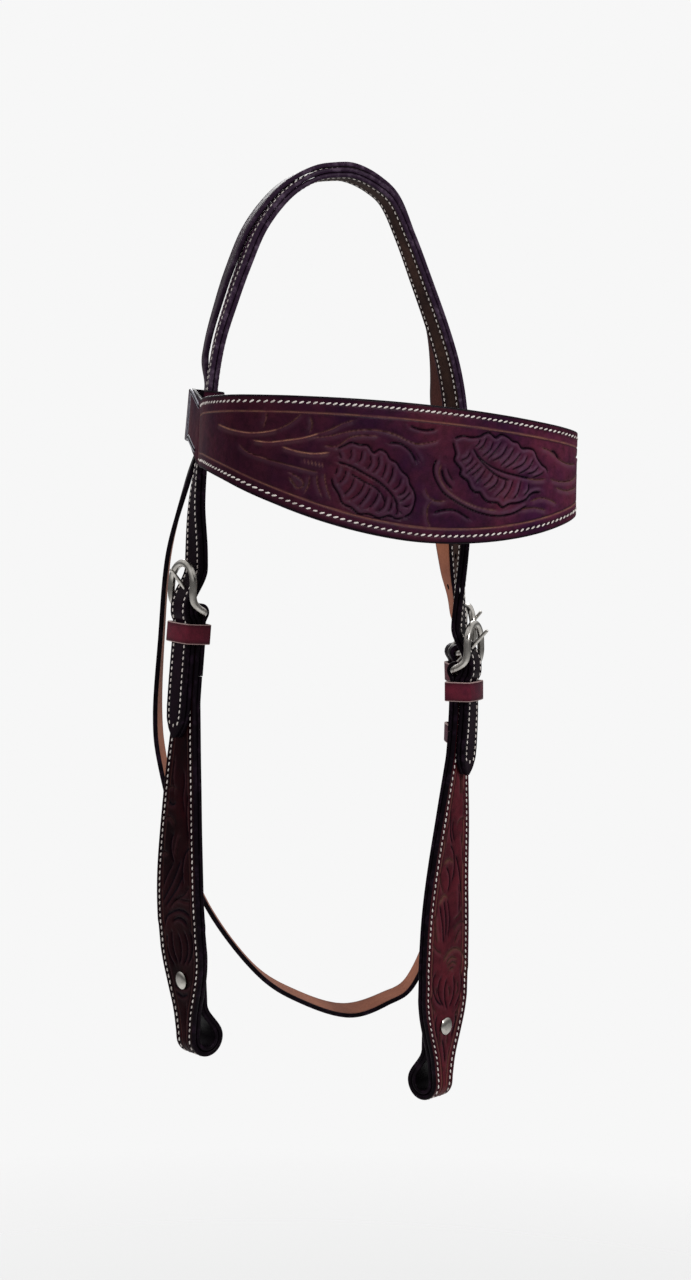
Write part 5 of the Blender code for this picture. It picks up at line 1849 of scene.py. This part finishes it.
# The browband's floral cuts: stems and short strokes first, then the leaves and the scroll between them
BAND_CUTS = (
    *(Stroke(path, 0.34, 0.4, 1.2, 0.35, 1.0) for path in (
        ((-116, 5.5), (-108, 4.4), (-100, 4.0), (-93, 4.4), (-86, 6.2), (-80, 8.7)),
        ((-90.5, 1.2), (-83, 1.8), (-75, 4.4), (-67, 7.4), (-60, 11)),
        ((-76, 1), (-68, 0.3), (-60, 1), (-53, 3)),
    )),
    *(Stroke(path, 0.36, 0.5, 1.3, 0.8, 0.4) for path in (
        ((-98, -2), (-93, -4.8), (-86, -6), (-76, -6.8), (-66, -7.4), (-57, -7.6)),
        ((-80, 8.7), (-76, 11.8), (-73, 15), (-70.5, 18.6)),
        ((-60, 11), (-54, 14.4), (-49, 18), (-44, 20.4)),
        ((-87, 16), (-86.4, 13), (-86.8, 8.4)),
        ((-66, 18), (-64.4, 15.4), (-64, 13), (-64.6, 10.4)),
        ((-62, 8.5), (-54, 11), (-46, 14.4), (-38, 16.8), (-30, 17.8), (-22, 17.2), (-14, 15), (-8, 14),
         (-1, 15.6), (3, 17)),
        ((-56, 5.6), (-50, 6.6), (-44, 12), (-37, 14.2), (-30, 15)),
        ((-71, -10.4), (-67, -11.4), (-63.6, -13), (-62.6, -15.6), (-65, -17), (-67.4, -15), (-70, -12.6)),
        ((-60.6, -10), (-60, -14), (-61.4, -19)),
        ((-57, -9), (-56, -13.4), (-53, -18.6)),
        ((-53.6, -7.6), (-52, -12.6), (-48.6, -19)),
        ((1.6, -13.4), (0, -17), (0.4, -22), (2, -26)),
        ((-2, -7), (0, -11), (4, -13), (9, -12.6)),
        ((58, -12), (64, -10.6), (70, -11.6), (76, -14)),
        ((52, -16), (60, -15.4), (68, -17)),
        ((56, -0.5), (62, -1.2), (68, -1)),
        ((66, 15), (72, 13), (78, 9), (86, 6), (96, 5)),
        ((72, -1.4), (80, -3), (90, -3), (100, -1)),
        ((76, -6), (86, -8), (98, -7)),
        ((96, 9), (104, 8), (114, 6.4)),
    )),
    *(Stroke(((at, -2.6), (at + 0.9, -4.8)), 0.3, 0.3, 0.8, 0.3, 0.7)
      for at in (-64.6, -62.8, -61, -59.2, -57.4, -55.8)),
    Stroke(RIGHT_LOW, 0.62, 0.7, -2.4, painted_highlight_share=0.9),
    Stroke(RIGHT_TOP, 0.62, 0.7, 2.4, painted_highlight_share=0.9),
    Stroke(LEFT_TOP, 0.62, 0.7, 2.4, painted_highlight_share=0.9),
    Stroke(LEFT_LOW, 0.55, 0.6, -2.2, painted_highlight_share=0.9),
    Stroke(RIGHT_RIB, 0.6, 0.6, 1.4, painted_highlight_share=0.8),
    Stroke(((25, 11.5), (29, 7.4), (34, 3.4), (39, 0.6), (45, -1.2)), 0.5, 0.5, -1.4),
    Stroke(LEFT_RIB, 0.6, 0.6, -1.4, painted_highlight_share=0.8),
    Stroke(((-41, -5.4), (-34, -8), (-28, -10), (-24, -13), (-21.6, -17)), 0.5, 0.5, 1.4),
    *fan(RIGHT_RIB, RIGHT_TOP[3:], 11, 1.2, (0.12, 0.84), -1.3),
    *fan(RIGHT_RIB, RIGHT_LOW[3:-3], 11, 1.0, (0.16, 0.82), 1.2),
    *fan(LEFT_RIB, LEFT_TOP[:-2], 11, 1.2, (0.14, 0.84), 1.2),
    *fan(LEFT_RIB, LEFT_LOW, 10, 1.4, (0.2, 0.86), -1.2),
    Stroke(((-14, 22.4), (-9, 21.4), (-4, 21.2), (1.6, 22.4)), 0.75, 0.6, 1.6),
    Stroke(((-24, 12.4), (-18, 13), (-13, 10.8), (-10, 8), (-8, 4.6)), 0.7, 0.6, 1.6),
    Stroke(((-20, 15), (-14, 12.8), (-8.6, 9.4), (-5.4, 5)), 0.35, 0.3, -1.0, 0.5),
    Stroke(((3.4, 8), (1.8, 4), (2.2, 0), (4.4, -4), (8, -8.4), (14, -12), (22, -15.6), (30, -18), (38, -19),
            (47, -17.8), (56, -14)), 0.6, 0.6, -1.8, painted_highlight_share=0.9),
    Stroke(((5.6, 5), (4.8, 1), (6.4, -3.4), (11, -8), (18, -12), (27, -15), (37, -16.4)),
           0.4, 0.4, 1.0, 0.6, 0.35),
    Stroke(((6.4, 3.6), (7.2, 0), (9.4, -3.4), (13, -6.6)), 0.75, 0.6, -1.4),
    Stroke(((9, 4), (10.4, 0.6), (13, -3)), 0.45, 0.4, 1.0),
    Stroke(((3, -19.2), (8, -17.4), (14, -17), (19, -19), (23, -21.4)), 0.7, 0.6, 1.6),
    Stroke(((73, 13), (76, 12), (79, 8.6)), 0.8, 0.6, 1.4),
)


@dataclass
class Browband:
    """The shaped and tooled browband, folded round the crown straps at both ends."""

    spine: Route
    stitcher: Stitcher
    pitch: float = 3.35 * MM

    def loop(self, shift: float) -> list[tuple[float, float]]:
        """Draw a fold's plan.

        Args:
            shift: How far back the throatlatch lies beside the crown strap.

        Returns:
            Forward and out distances, from the fold's end round to the face.
        """
        half = STRAP_WIDTH / 2 + REST_GAP * 2
        inner = -CROWN_HALF - REST_GAP * 2 - BAND_PLY / 2
        outer = THROAT_OVER_CROWN + THROAT_PLY / 2 + LOOP_SLACK + BAND_PLY / 2
        back = -(half + shift) - BAND_PLY / 2
        tucked = outer - BAND_PLY - PLY_GAP
        corner = LOOP_CORNER + BAND_PLY / 2
        points = [
            (LOOP_LAP, tucked),
            (LOOP_LAP * 0.8, tucked - BAND_PLY * 0.4),
            (half + BAND_PLY * 2.2, inner + (tucked - inner) * 0.55),
            (half + BAND_PLY * 0.9, inner + (tucked - inner) * 0.08),
            (half, inner),
            (0.0, inner),
        ]
        points += [(back + corner - corner * math.sin(angle), inner + corner - corner * math.cos(angle))
                   for angle in QUARTER]
        points += [(back + corner - corner * math.cos(angle), outer - corner + corner * math.sin(angle))
                   for angle in QUARTER]
        return points + [(0.0, outer)]

    def rows(self) -> tuple[list[Station], int]:
        """Lay the face's rows: off fold, front, near fold.

        Returns:
            The rows, and how many belong to each fold.
        """
        halves = []
        for sign, mark, shift, lift, shares in (
                (-1, "off_loop", OFF_THROAT_SHIFT, OFF_LOOP_LIFT, OFF_BAND_SHARES),
                (1, "near_loop", NEAR_THROAT_SHIFT, 0.0, BAND_SHARES)):
            spot = self.spine.spot(self.spine.mark(mark) - sign * lift, sign)
            plan = self.loop(shift)
            rows = [Station(spot.place(0, out, -forward), -spot.along, BAND_TONGUE) for forward, out in plan]
            way = (UP * 2 - spot.along).normalized()
            rows.append(Station(spot.place(0, plan[-1][1], -STRAP_WIDTH), way, BAND_TONGUE))
            for across, forward, height in shares:
                if across or sign < 0:
                    tall = height * BAND_TALLEST
                    lean = sign * across
                    top = (-BAND_TOP_DROP - BAND_NEAR_DROP / 2 - BAND_NEAR_DROP / 2 * lean
                           + BAND_CREST * (1 - lean ** 2))
                    point = Vector((lean * BAND_HALF_WIDTH, -forward * BAND_DEPTH, top - tall / 2))
                    rows.append(Station(point, UP.copy(), tall))
            halves.append(rows)
        rows = halves[0] + halves[1][::-1]
        fold = len(self.loop(0))
        result = rows[:fold - 1]
        for index in range(fold - 1, len(rows) - fold):
            four = rows[index - 1:index + 3]
            for step in range(BAND_REFINE):
                share = step / BAND_REFINE
                point = smooth(*(row.point for row in four), share)
                way = smooth(*(row.way for row in four), share).normalized()
                result.append(Station(point, way, smooth(*(row.width for row in four), share)))
        return result + rows[len(rows) - fold:], fold

    def build(self) -> None:
        """Make the tooled face, the lining behind it, the stitches and the loops' rims."""
        rows, fold = self.rows()
        middle = min(range(fold, len(rows) - fold), key=lambda index: abs(rows[index].point.x))
        course = Course(rows, BAND_STEP, Vector((0, -1, 0)), at=middle, zero=(middle, 0.0), fine=BAND_TOOLED)
        arc = [0.0]
        for before, after in zip(rows, rows[1:]):
            arc.append(arc[-1] + (after.point - before.point).length)
        folds = (arc[fold - 1] - arc[middle], arc[-fold] - arc[middle])
        edges = (arc[fold - 1 + 2 * BAND_REFINE] - arc[middle], arc[-fold - 2 * BAND_REFINE] - arc[middle])
        span = (edges[0] + 1 * MM, edges[1] - 1 * MM)
        upper, lower = (seam / MM for seam in BAND_SEAMS)
        lines = (*pair(upper, 0.35, lower=lower), *pair(8.2, 0.4, 0.6, 7.3))
        ends = []
        # At each fold, a dark cut where the face ends, and beside it a pale line that is a painted highlight
        # where the band curves away
        for edge, way in zip(edges, (1, -1)):
            brink, rubbed = edge / MM, edge / MM + 1.6 * way
            ends.append(Stroke(((brink, -18), (brink, 0), (brink, 18)), 0.7, 0.7, 1.4 * way))
            ends.append(Stroke(((rubbed, -15), (rubbed, 0), (rubbed, 15)), 0.7, 0.1, 0.0, 0.0, 0.55))
        tooling = Tooling((*BAND_CUTS, *ends), lines, span, BAND_PAINTED_SHADE)
        piece = sweep("browband_face_leather", course, flat_section(BAND_PLY, 108, 6),
                      (Coat.TOOLED, Coat.EDGE, Coat.DARK_LINING), tooling.press)
        report(piece, "browband", "browband_face", slot="strap_leather")
        sewn = edge_rows(course, span[0] + 0.5 * MM, span[1] - 0.5 * MM, self.pitch, *BAND_SEAMS)
        report(self.stitcher.sew("browband_stitches", course, sewn, *BAND_STITCH), "browband")
        self.line(rows, fold)
        for name, place, edge, way in zip(("off_loop", "near_loop"), folds, edges, (1, -1)):
            self.rim(name, course, place - way * 5 * MM, edge - way * 7 * MM)

    def rim(self, name: str, face: Course, back: float, ahead: float) -> None:
        """Raise the border that frames the fold's outer side: pale grey lines that are a painted highlight
        along the fold's outline, partly its light cut edge, with a black line of painted shade between them.

        Args:
            name: The border's name.
            face: The band's own surface.
            back: The border's upright, as a distance along the band.
            ahead: Where its two arms end.
        """
        edge, turn = BAND_TONGUE / 2 - 0.9 * MM, 3 * MM
        way = 1 if ahead > back else -1
        plan = [(ahead - way * step * (abs(ahead - back) - turn) / 8, -edge) for step in range(8)]
        plan += [(back + way * turn * (1 - math.sin(angle)), -edge + turn * (1 - math.cos(angle)))
                 for angle in QUARTER]
        plan += [(place, -across) for place, across in reversed(plan)]
        marks, across = (np.array(column) for column in zip(*plan))
        # The grey border and inner line are a painted highlight, partly a light cut edge; the black line
        # between is painted shade
        # How far its upright and its arms are set in from the border's, and its radius, in millimetres
        for label, along, inset, radius, coat in (("_border", 0.0, 0.0, 0.55, Coat.RIM),
                                                  ("_painted_shade_line", 4.5, 1.1, 0.55, Coat.EDGE),
                                                  ("_inner_line", 8.0, 2.0, 0.3, Coat.RIM)):
            kept = np.maximum(marks * way, back * way + along * MM) * way
            points, _along, _way, normals = face.lay(kept, across * (1 - inset * MM / edge),
                                                     np.full(len(marks), BAND_PLY / 2 + 0.1 * MM))
            rows = [Station(Vector(point), Vector(normal), 0.0) for point, normal in zip(points, normals)]
            border = sweep(name + label, Course(rows, 0.5 * MM, UP), round_section(radius * MM, 10), (coat,))
            report(border, "browband")

    def line(self, rows: list[Station], fold: int) -> None:
        """Make the lining behind the front.

        Args:
            rows: The face's rows.
            fold: How many of them belong to each fold.
        """
        setback = (BAND_PLY + BAND_LINING_PLY) / 2 + PLY_GAP
        first = fold - 1 + 2 * BAND_REFINE
        inner = []
        for index in range(first, len(rows) - first):
            row = rows[index]
            along = (rows[index + 1].point - rows[index - 1].point).normalized()
            inward = row.way.cross(along).normalized()
            if inward.dot(Vector((row.point.x, row.point.y, 0))) > 0:
                inward = -inward
            inner.append(Station(row.point + inward * setback, row.way, row.width))
        middle = min(range(len(inner)), key=lambda index: abs(inner[index].point.x))
        course = Course(inner, 1.5 * MM, Vector((0, 1, 0)), at=middle, zero=(middle, 0.0))
        channel = Tooling((), pair(BAND_SEAMS[0] / MM, 0.3, lower=BAND_SEAMS[1] / MM))
        piece = sweep("browband_lining_leather", course, flat_section(BAND_LINING_PLY, 50, 8),
                      (Coat.DARK_LINING, Coat.EDGE, Coat.DARK_LINING), channel.press)
        report(piece, "browband", "browband_lining", slot="lining_leather")
        sewn = edge_rows(course, course.marks[0] + 2 * MM, course.marks[-1] - 2 * MM, self.pitch, *BAND_SEAMS)
        out = BAND_LINING_PLY / 2 - 0.05 * MM
        report(self.stitcher.sew("browband_lining_stitches", course, sewn, out), "browband")


@dataclass
class Keeper:
    """A closed leather band that holds the billet's end."""

    name: str
    side: Side
    below: float
    front: float
    width: float

    def build(self) -> None:
        """Make the band, a little snugger than its room."""
        spot = self.side.spot(self.below)
        rear = self.side.back - REST_GAP - KEEPER_EASE
        front = self.front + KEEPER_EASE
        wide = self.width + KEEPER_EASE * 2 + KEEPER_PLY
        deep = front - rear + KEEPER_PLY
        radius = KEEPER_PLY * 0.6 + REST_GAP
        rows = []
        for side, end, start in ((1, 1, 0), (-1, 1, 90), (-1, -1, 180), (1, -1, 270)):
            for turn in QUARTER:
                angle = math.radians(start) + turn
                aside = side * (wide / 2 - radius) + radius * math.cos(angle)
                out = end * (deep / 2 - radius) + radius * math.sin(angle)
                point = spot.place(0, (front + rear) / 2 + out, aside)
                rows.append(Station(point, spot.along, KEEPER_HEIGHT))
        course = Course(rows, 0.6 * MM, spot.out, at=7, closed=True)
        piece = sweep(self.name + "_leather", course, flat_section(KEEPER_PLY, 12, 6, 0.5 * MM),
                      (Coat.KEEPER, Coat.RAW_EDGE, Coat.FLESH))
        report(piece, self.name, self.name, slot="keeper_leather")


@dataclass
class Buckle:
    """A horseshoe buckle: a bent wire frame, its bar inside the fold, and its tongue."""

    side: Side

    def build(self) -> None:
        """Make the frame and the tongue."""
        self.build_frame()
        self.build_tongue()

    def build_frame(self) -> None:
        """Bend the frame's wire round its closed outline."""
        spot = self.side.spot(0)
        back = self.side.bar_out
        front = back + FRAME_SET_FORWARD
        half = FRAME_HALF_WIDTH
        spring = FRAME_RISE - half
        leg = [
            (half * 0.84, 0.0, back),
            (half, WIRE_RADIUS * 0.4, back + FRAME_SET_FORWARD * 0.16),
            (half * 1.02, WIRE_RADIUS * 1.3, back + FRAME_SET_FORWARD * 0.55),
            (half * 1.0, WIRE_RADIUS * 2.7, back + FRAME_SET_FORWARD * 0.86),
            (half, spring * 0.68, front),
        ]
        outline = [*leg]
        for index in range(17):
            angle = math.pi * index / 16
            outline.append((half * math.cos(angle), spring + half * math.sin(angle), front))
        outline += [(-across, up, out) for across, up, out in reversed(leg)]
        outline += [(-half * 0.84 + half * 1.68 * share, 0.0, back) for share in (0.25, 0.5, 0.75)]
        rows = [Station(spot.place(-up, out, across), spot.out, 0.0) for across, up, out in outline]
        # The edge way turns with the wire so that it is never along it
        for index, row in enumerate(rows):
            ahead = rows[(index + 1) % len(rows)].point - rows[index - 1].point
            row.way = ahead.cross(spot.out - spot.along * 0.3).normalized()
        course = Course(rows, 0.7 * MM, spot.out, at=13, closed=True)
        piece = sweep(self.side.name + "_buckle_wire", course, round_section(WIRE_RADIUS, 18), (Coat.NICKEL,))
        report(piece, self.side.name + "_buckle", self.side.name + "_buckle_frame", slot="nickel")

    def build_tongue(self) -> None:
        """Bend the tongue's wire round the bar and draw it out to a blunt tip."""
        middle, ahead, aside, rear = tongue_ways(self.side)
        radius = WIRE_RADIUS + BAR_CLEARANCE + TONGUE_RADIUS
        points = []
        for index in range(19):
            angle = math.radians(-285 + 285 * index / 18)
            points.append(middle + aside * radius * math.cos(angle) + ahead * radius * math.sin(angle))
        points += [middle + aside * radius + ahead * TONGUE_LENGTH * share
                   for share in (0.2, 0.4, 0.6, 0.8, 1.0)]
        course = Course([Station(point, rear, 0.0) for point in points], 0.3 * MM, aside, at=len(points) - 2)
        left = (course.marks[-1] - course.marks) / TONGUE_RADIUS
        start = course.marks / TONGUE_RADIUS
        scale = np.sqrt(np.clip(1 - np.clip(1 - left, 0, 1) ** 2, 0.02, 1))
        scale *= np.sqrt(np.clip(1 - np.clip(1 - start, 0, 1) ** 2, 0.02, 1))
        scale *= 1 - 0.18 * np.clip(1 - left / 14, 0, 1)
        piece = sweep(self.side.name + "_buckle_tongue_wire", course, round_section(TONGUE_RADIUS, 14),
                      (Coat.NICKEL,), scale=scale)
        report(piece, self.side.name + "_tongue", self.side.name + "_buckle_tongue", slot="nickel")


@dataclass
class BindingScrew:
    """The screw and post that close the bit loop."""

    side: Side
    rise: tuple[tuple[float, float], ...] = ((0.5, 0.42), (0.7, 0.33), (1.0, 0.28), (1.2, 0.12))

    def disc(self, name: str, matrix: Matrix, thick: float) -> bpy.types.Object:
        """Model a domed disc.

        Args:
            name: The piece's name.
            matrix: Its underside's middle, with Z to its dome.
            thick: Its thickness at the middle.

        Returns:
            The disc, with its place in its mesh.
        """
        clean_start()
        rim = 0.28 * thick
        bpy.ops.mesh.primitive_cylinder_add(vertices=40, radius=SCREW_HEAD_RADIUS, depth=rim,
                                            location=(0, 0, rim / 2))
        piece = bpy.context.object
        piece.name = piece.data.name = name
        bpy.ops.object.transform_apply(location=True, rotation=False, scale=False)
        bpy.ops.object.mode_set(mode="EDIT")
        bpy.ops.mesh.select_all(action="DESELECT")
        bpy.ops.object.mode_set(mode="OBJECT")
        for polygon in piece.data.polygons:
            polygon.select = polygon.normal.z > 0.9
        bpy.ops.object.mode_set(mode="EDIT")
        for inset, lift in self.rise:
            bpy.ops.mesh.inset(thickness=inset * MM, depth=lift * (thick - rim) / 1.15)
        bpy.ops.mesh.poke()
        bpy.ops.object.mode_set(mode="OBJECT")
        piece.data.transform(matrix)
        piece.data.materials.append(Coat.NICKEL.paint())
        bpy.ops.object.shade_smooth_by_angle(angle=math.radians(50))
        return piece

    def stem(self, piece: bpy.types.Object, matrix: Matrix, radius: float, length: float) -> None:
        """Join a round stem that runs back from a disc.

        Args:
            piece: The disc.
            matrix: The disc's place.
            radius: The stem's radius.
            length: The stem's length.
        """
        clean_start()
        bpy.ops.mesh.primitive_cylinder_add(vertices=20, radius=radius, depth=length,
                                            location=(0, 0, -length / 2))
        stem = bpy.context.object
        bpy.ops.object.transform_apply(location=True, rotation=False, scale=False)
        stem.data.transform(matrix)
        stem.data.materials.append(Coat.NICKEL.paint())
        piece.select_set(True)
        bpy.context.view_layer.objects.active = piece
        bpy.ops.object.join()

    def build(self) -> None:
        """Make the screw at the front and the post behind."""
        side = self.side
        spot = side.spot(SCREW_BELOW_BAR)
        front = side.face + CHEEK_PLY / 2 + REST_GAP
        rear = TAIL_FACE - CHEEK_PLY / 2 - REST_GAP - PLY_GAP
        matrix = spot.matrix(front)
        head = self.disc(side.name + "_binding_screw_head", matrix, SCREW_HEAD_HEIGHT)
        self.stem(head, matrix, SCREW_RADIUS, front - rear - SCREW_HEAD_HEIGHT)
        report(head, side.name + "_screw", side.name + "_binding_screw", slot="nickel")
        matrix = spot.matrix(rear) @ Matrix.Rotation(math.pi, 4, "X")
        post = self.disc(side.name + "_screw_post_flange", matrix, POST_FLANGE)
        self.stem(post, matrix, POST_RADIUS, front - REST_GAP - rear)
        report(post, side.name + "_cheek", side.name + "_screw_post", slot="nickel")


@dataclass
class Studio:
    """The pale floor, the soft lamps and the camera."""

    away: float = 1.10
    height: float = -0.178
    azimuth: float = 22.0
    roll: float = 1.2
    lens: float = 56.25
    shift: tuple[float, float] = (0.0074, -0.1066)
    floor_drop: float = -0.92
    floor_radius: float = 1.5
    backdrop: str = "#F7F7F7"
    paper: str = "#F2F2F2"
    ambient: float = 0.45

    def build(self) -> None:
        """Set the whole stage."""
        self.build_world()
        self.build_floor()
        self.build_lamps()
        self.build_camera()
        bpy.context.scene.view_settings.view_transform = "Standard"

    def build_world(self) -> None:
        """Fill the scene with even light, and show the backdrop's colour to the camera and in gloss."""
        world = bpy.data.worlds.new("studio")
        bpy.context.scene.world = world
        world.use_nodes = True
        tree = world.node_tree
        tree.nodes.clear()
        path = add_node(tree, "ShaderNodeLightPath")
        seen = add_node(tree, "ShaderNodeMath", {0: path.outputs["Is Camera Ray"],
                                                 1: path.outputs["Is Glossy Ray"]}, operation="MAXIMUM")
        seen = add_node(tree, "ShaderNodeMath", {0: seen.outputs[0], 1: path.outputs["Is Transmission Ray"]},
                        operation="MAXIMUM")
        # In gloss the room is dim at eye level, so that grazing views of the leather stay deep
        where = add_node(tree, "ShaderNodeTexCoord").outputs["Generated"]
        level = add_node(tree, "ShaderNodeSeparateXYZ", {0: where}).outputs["Z"]
        level = add_node(tree, "ShaderNodeMath", {0: level}, operation="ABSOLUTE").outputs[0]
        room = add_node(tree, "ShaderNodeMapRange", {"Value": level, "From Min": 0.1, "From Max": 0.55,
                                                     "To Min": 0.2})
        room = add_node(tree, "ShaderNodeMath", {0: room.outputs[0], 1: path.outputs["Is Camera Ray"]},
                        operation="MAXIMUM")
        soft = add_node(tree, "ShaderNodeBackground", {"Color": tint(self.backdrop),
                                                       "Strength": self.ambient})
        shown = add_node(tree, "ShaderNodeBackground", {"Color": tint(self.backdrop),
                                                        "Strength": room.outputs[0]})
        mix = add_node(tree, "ShaderNodeMixShader", {0: seen.outputs[0], 1: soft.outputs[0],
                                                     2: shown.outputs[0]})
        add_node(tree, "ShaderNodeOutputWorld", {"Surface": mix.outputs[0]})

    def build_floor(self) -> None:
        """Lay a pale round floor whose rim fades into the backdrop."""
        clean_start()
        bpy.ops.mesh.primitive_circle_add(vertices=96, radius=self.floor_radius, fill_type="NGON",
                                          location=(0, 0, self.floor_drop))
        floor = bpy.context.object
        floor.name = "studio_floor"
        bpy.ops.object.transform_apply(location=True, rotation=False, scale=False)
        material = bpy.data.materials.new("pale_studio_floor")
        material.use_nodes = True
        tree = material.node_tree
        tree.nodes.clear()
        where = add_node(tree, "ShaderNodeTexCoord")
        flat = add_node(tree, "ShaderNodeVectorMath", {0: where.outputs["Object"], 1: (1.0, 1.0, 0.0)},
                        operation="MULTIPLY")
        far = add_node(tree, "ShaderNodeVectorMath", {0: flat.outputs[0]}, operation="LENGTH")
        fade = add_node(tree, "ShaderNodeMapRange", {"Value": far.outputs["Value"], "From Min": 0.35,
                                                     "From Max": 1.2})
        paper = add_node(tree, "ShaderNodeBsdfDiffuse", {"Color": tint(self.paper)})
        clear = add_node(tree, "ShaderNodeBsdfTransparent")
        mix = add_node(tree, "ShaderNodeMixShader", {0: fade.outputs[0], 1: paper.outputs[0],
                                                     2: clear.outputs[0]})
        add_node(tree, "ShaderNodeOutputMaterial", {"Surface": mix.outputs[0]})
        floor.data.materials.append(material)

    def build_lamps(self) -> None:
        """Hang a key, a fill, a rim lamp and a side lamp."""
        target = Vector((0, -0.02, -0.25))
        # Place, size in metres, power in watts, and whether the leather's gloss shows the lamp
        for name, place, size, power, gloss in (
                ("key", (0.7, -1.8, 0.8), 0.34, 24.0, True),
                ("fill", (-1.5, -1.1, 0.3), 1.2, 9.0, False),
                ("rim", (0.5, 1.6, 0.7), 0.8, 9.0, True),
                ("side", (-1.4, 0.9, 0.1), 0.4, 8.0, False)):
            clean_start()
            bpy.ops.object.light_add(type="AREA", location=place)
            lamp = bpy.context.object
            lamp.name = name + "_softbox"
            lamp.data.size = size
            lamp.data.energy = power
            lamp.visible_glossy = gloss
            lamp.rotation_euler = (target - Vector(place)).to_track_quat("-Z", "Y").to_euler()

    def build_camera(self) -> None:
        """Put the camera at the photograph's viewing angle."""
        turn = math.radians(self.azimuth)
        forward = Vector((math.sin(turn), math.cos(turn), 0.0))
        right = forward.cross(UP)
        data = bpy.data.cameras.new("photograph")
        data.sensor_fit = "VERTICAL"
        data.sensor_height = 36.0
        data.lens = self.lens
        data.shift_x, data.shift_y = self.shift
        camera = bpy.data.objects.new("photograph", data)
        bpy.context.scene.collection.objects.link(camera)
        facing = Matrix((right, UP, -forward)).transposed() @ Matrix.Rotation(math.radians(self.roll), 3, "Z")
        place = -forward * self.away + UP * self.height
        camera.matrix_world = Matrix.Translation(place) @ facing.to_4x4()
        bpy.context.scene.camera = camera


def main() -> None:
    """Build the headstall's pieces in order and set the stage."""
    logging.basicConfig(level=logging.INFO, format="%(message)s")
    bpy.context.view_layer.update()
    Studio().build()
    spine = spine_route()
    throat = throat_route(spine)
    off = Side("off", spine, spine.mark("off_bar"), -1, CHEEK_FACE, CHEEK_BEHIND, CHEEK_PLY)
    near = Side("near", spine, spine.mark("near_bar"), 1, CHEEK_FACE, CHEEK_BEHIND, CHEEK_PLY)
    throat_side = Side("throat", throat, throat.mark("bar"), -1, 0.0, -THROAT_PLY - PLY_GAP, THROAT_PLY)
    stitcher = Stitcher()
    crown = Crown(spine, stitcher)
    crown.build()
    Browband(spine, stitcher).build()
    for side, mark, tail, cuts, coat in (
            (off, "off_flex", OFF_BILLET_TAIL, OFF_CHEEK_CUTS, Coat.SHADED_CHEEK),
            (near, "near_flex", NEAR_BILLET_TAIL, NEAR_CHEEK_CUTS, Coat.CHEEK)):
        flex = spine.mark(mark)
        billet = Billet(side, tail, -abs(side.bar - flex) - INTO_LOOP, CROWN_HALF)
        Cheek(side, billet, cuts, stitcher, flex, coat).build()
        BindingScrew(side).build()
        front = side.face + CHEEK_PLY / 2 + REST_GAP * 2 + CROWN_HALF * 2
        width = CHEEK_TOP_WIDTH + REST_GAP * 2
        Keeper(side.name + "_cheek_keeper", side, KEEPER_BELOW_BAR, front, width).build()
    Throatlatch(throat_side, crown).build()
    front = THROAT_PLY / 2 + REST_GAP * 2 + THROAT_PLY
    for name, below in (("throat_upper_keeper", KEEPER_BELOW_BAR),
                        ("throat_lower_keeper", LOWER_KEEPER_BELOW_BAR)):
        Keeper(name, throat_side, below, front, STRAP_WIDTH + REST_GAP * 2).build()
    for side in (off, near, throat_side):
        Buckle(side).build()


if __name__ == "__main__":
    main()
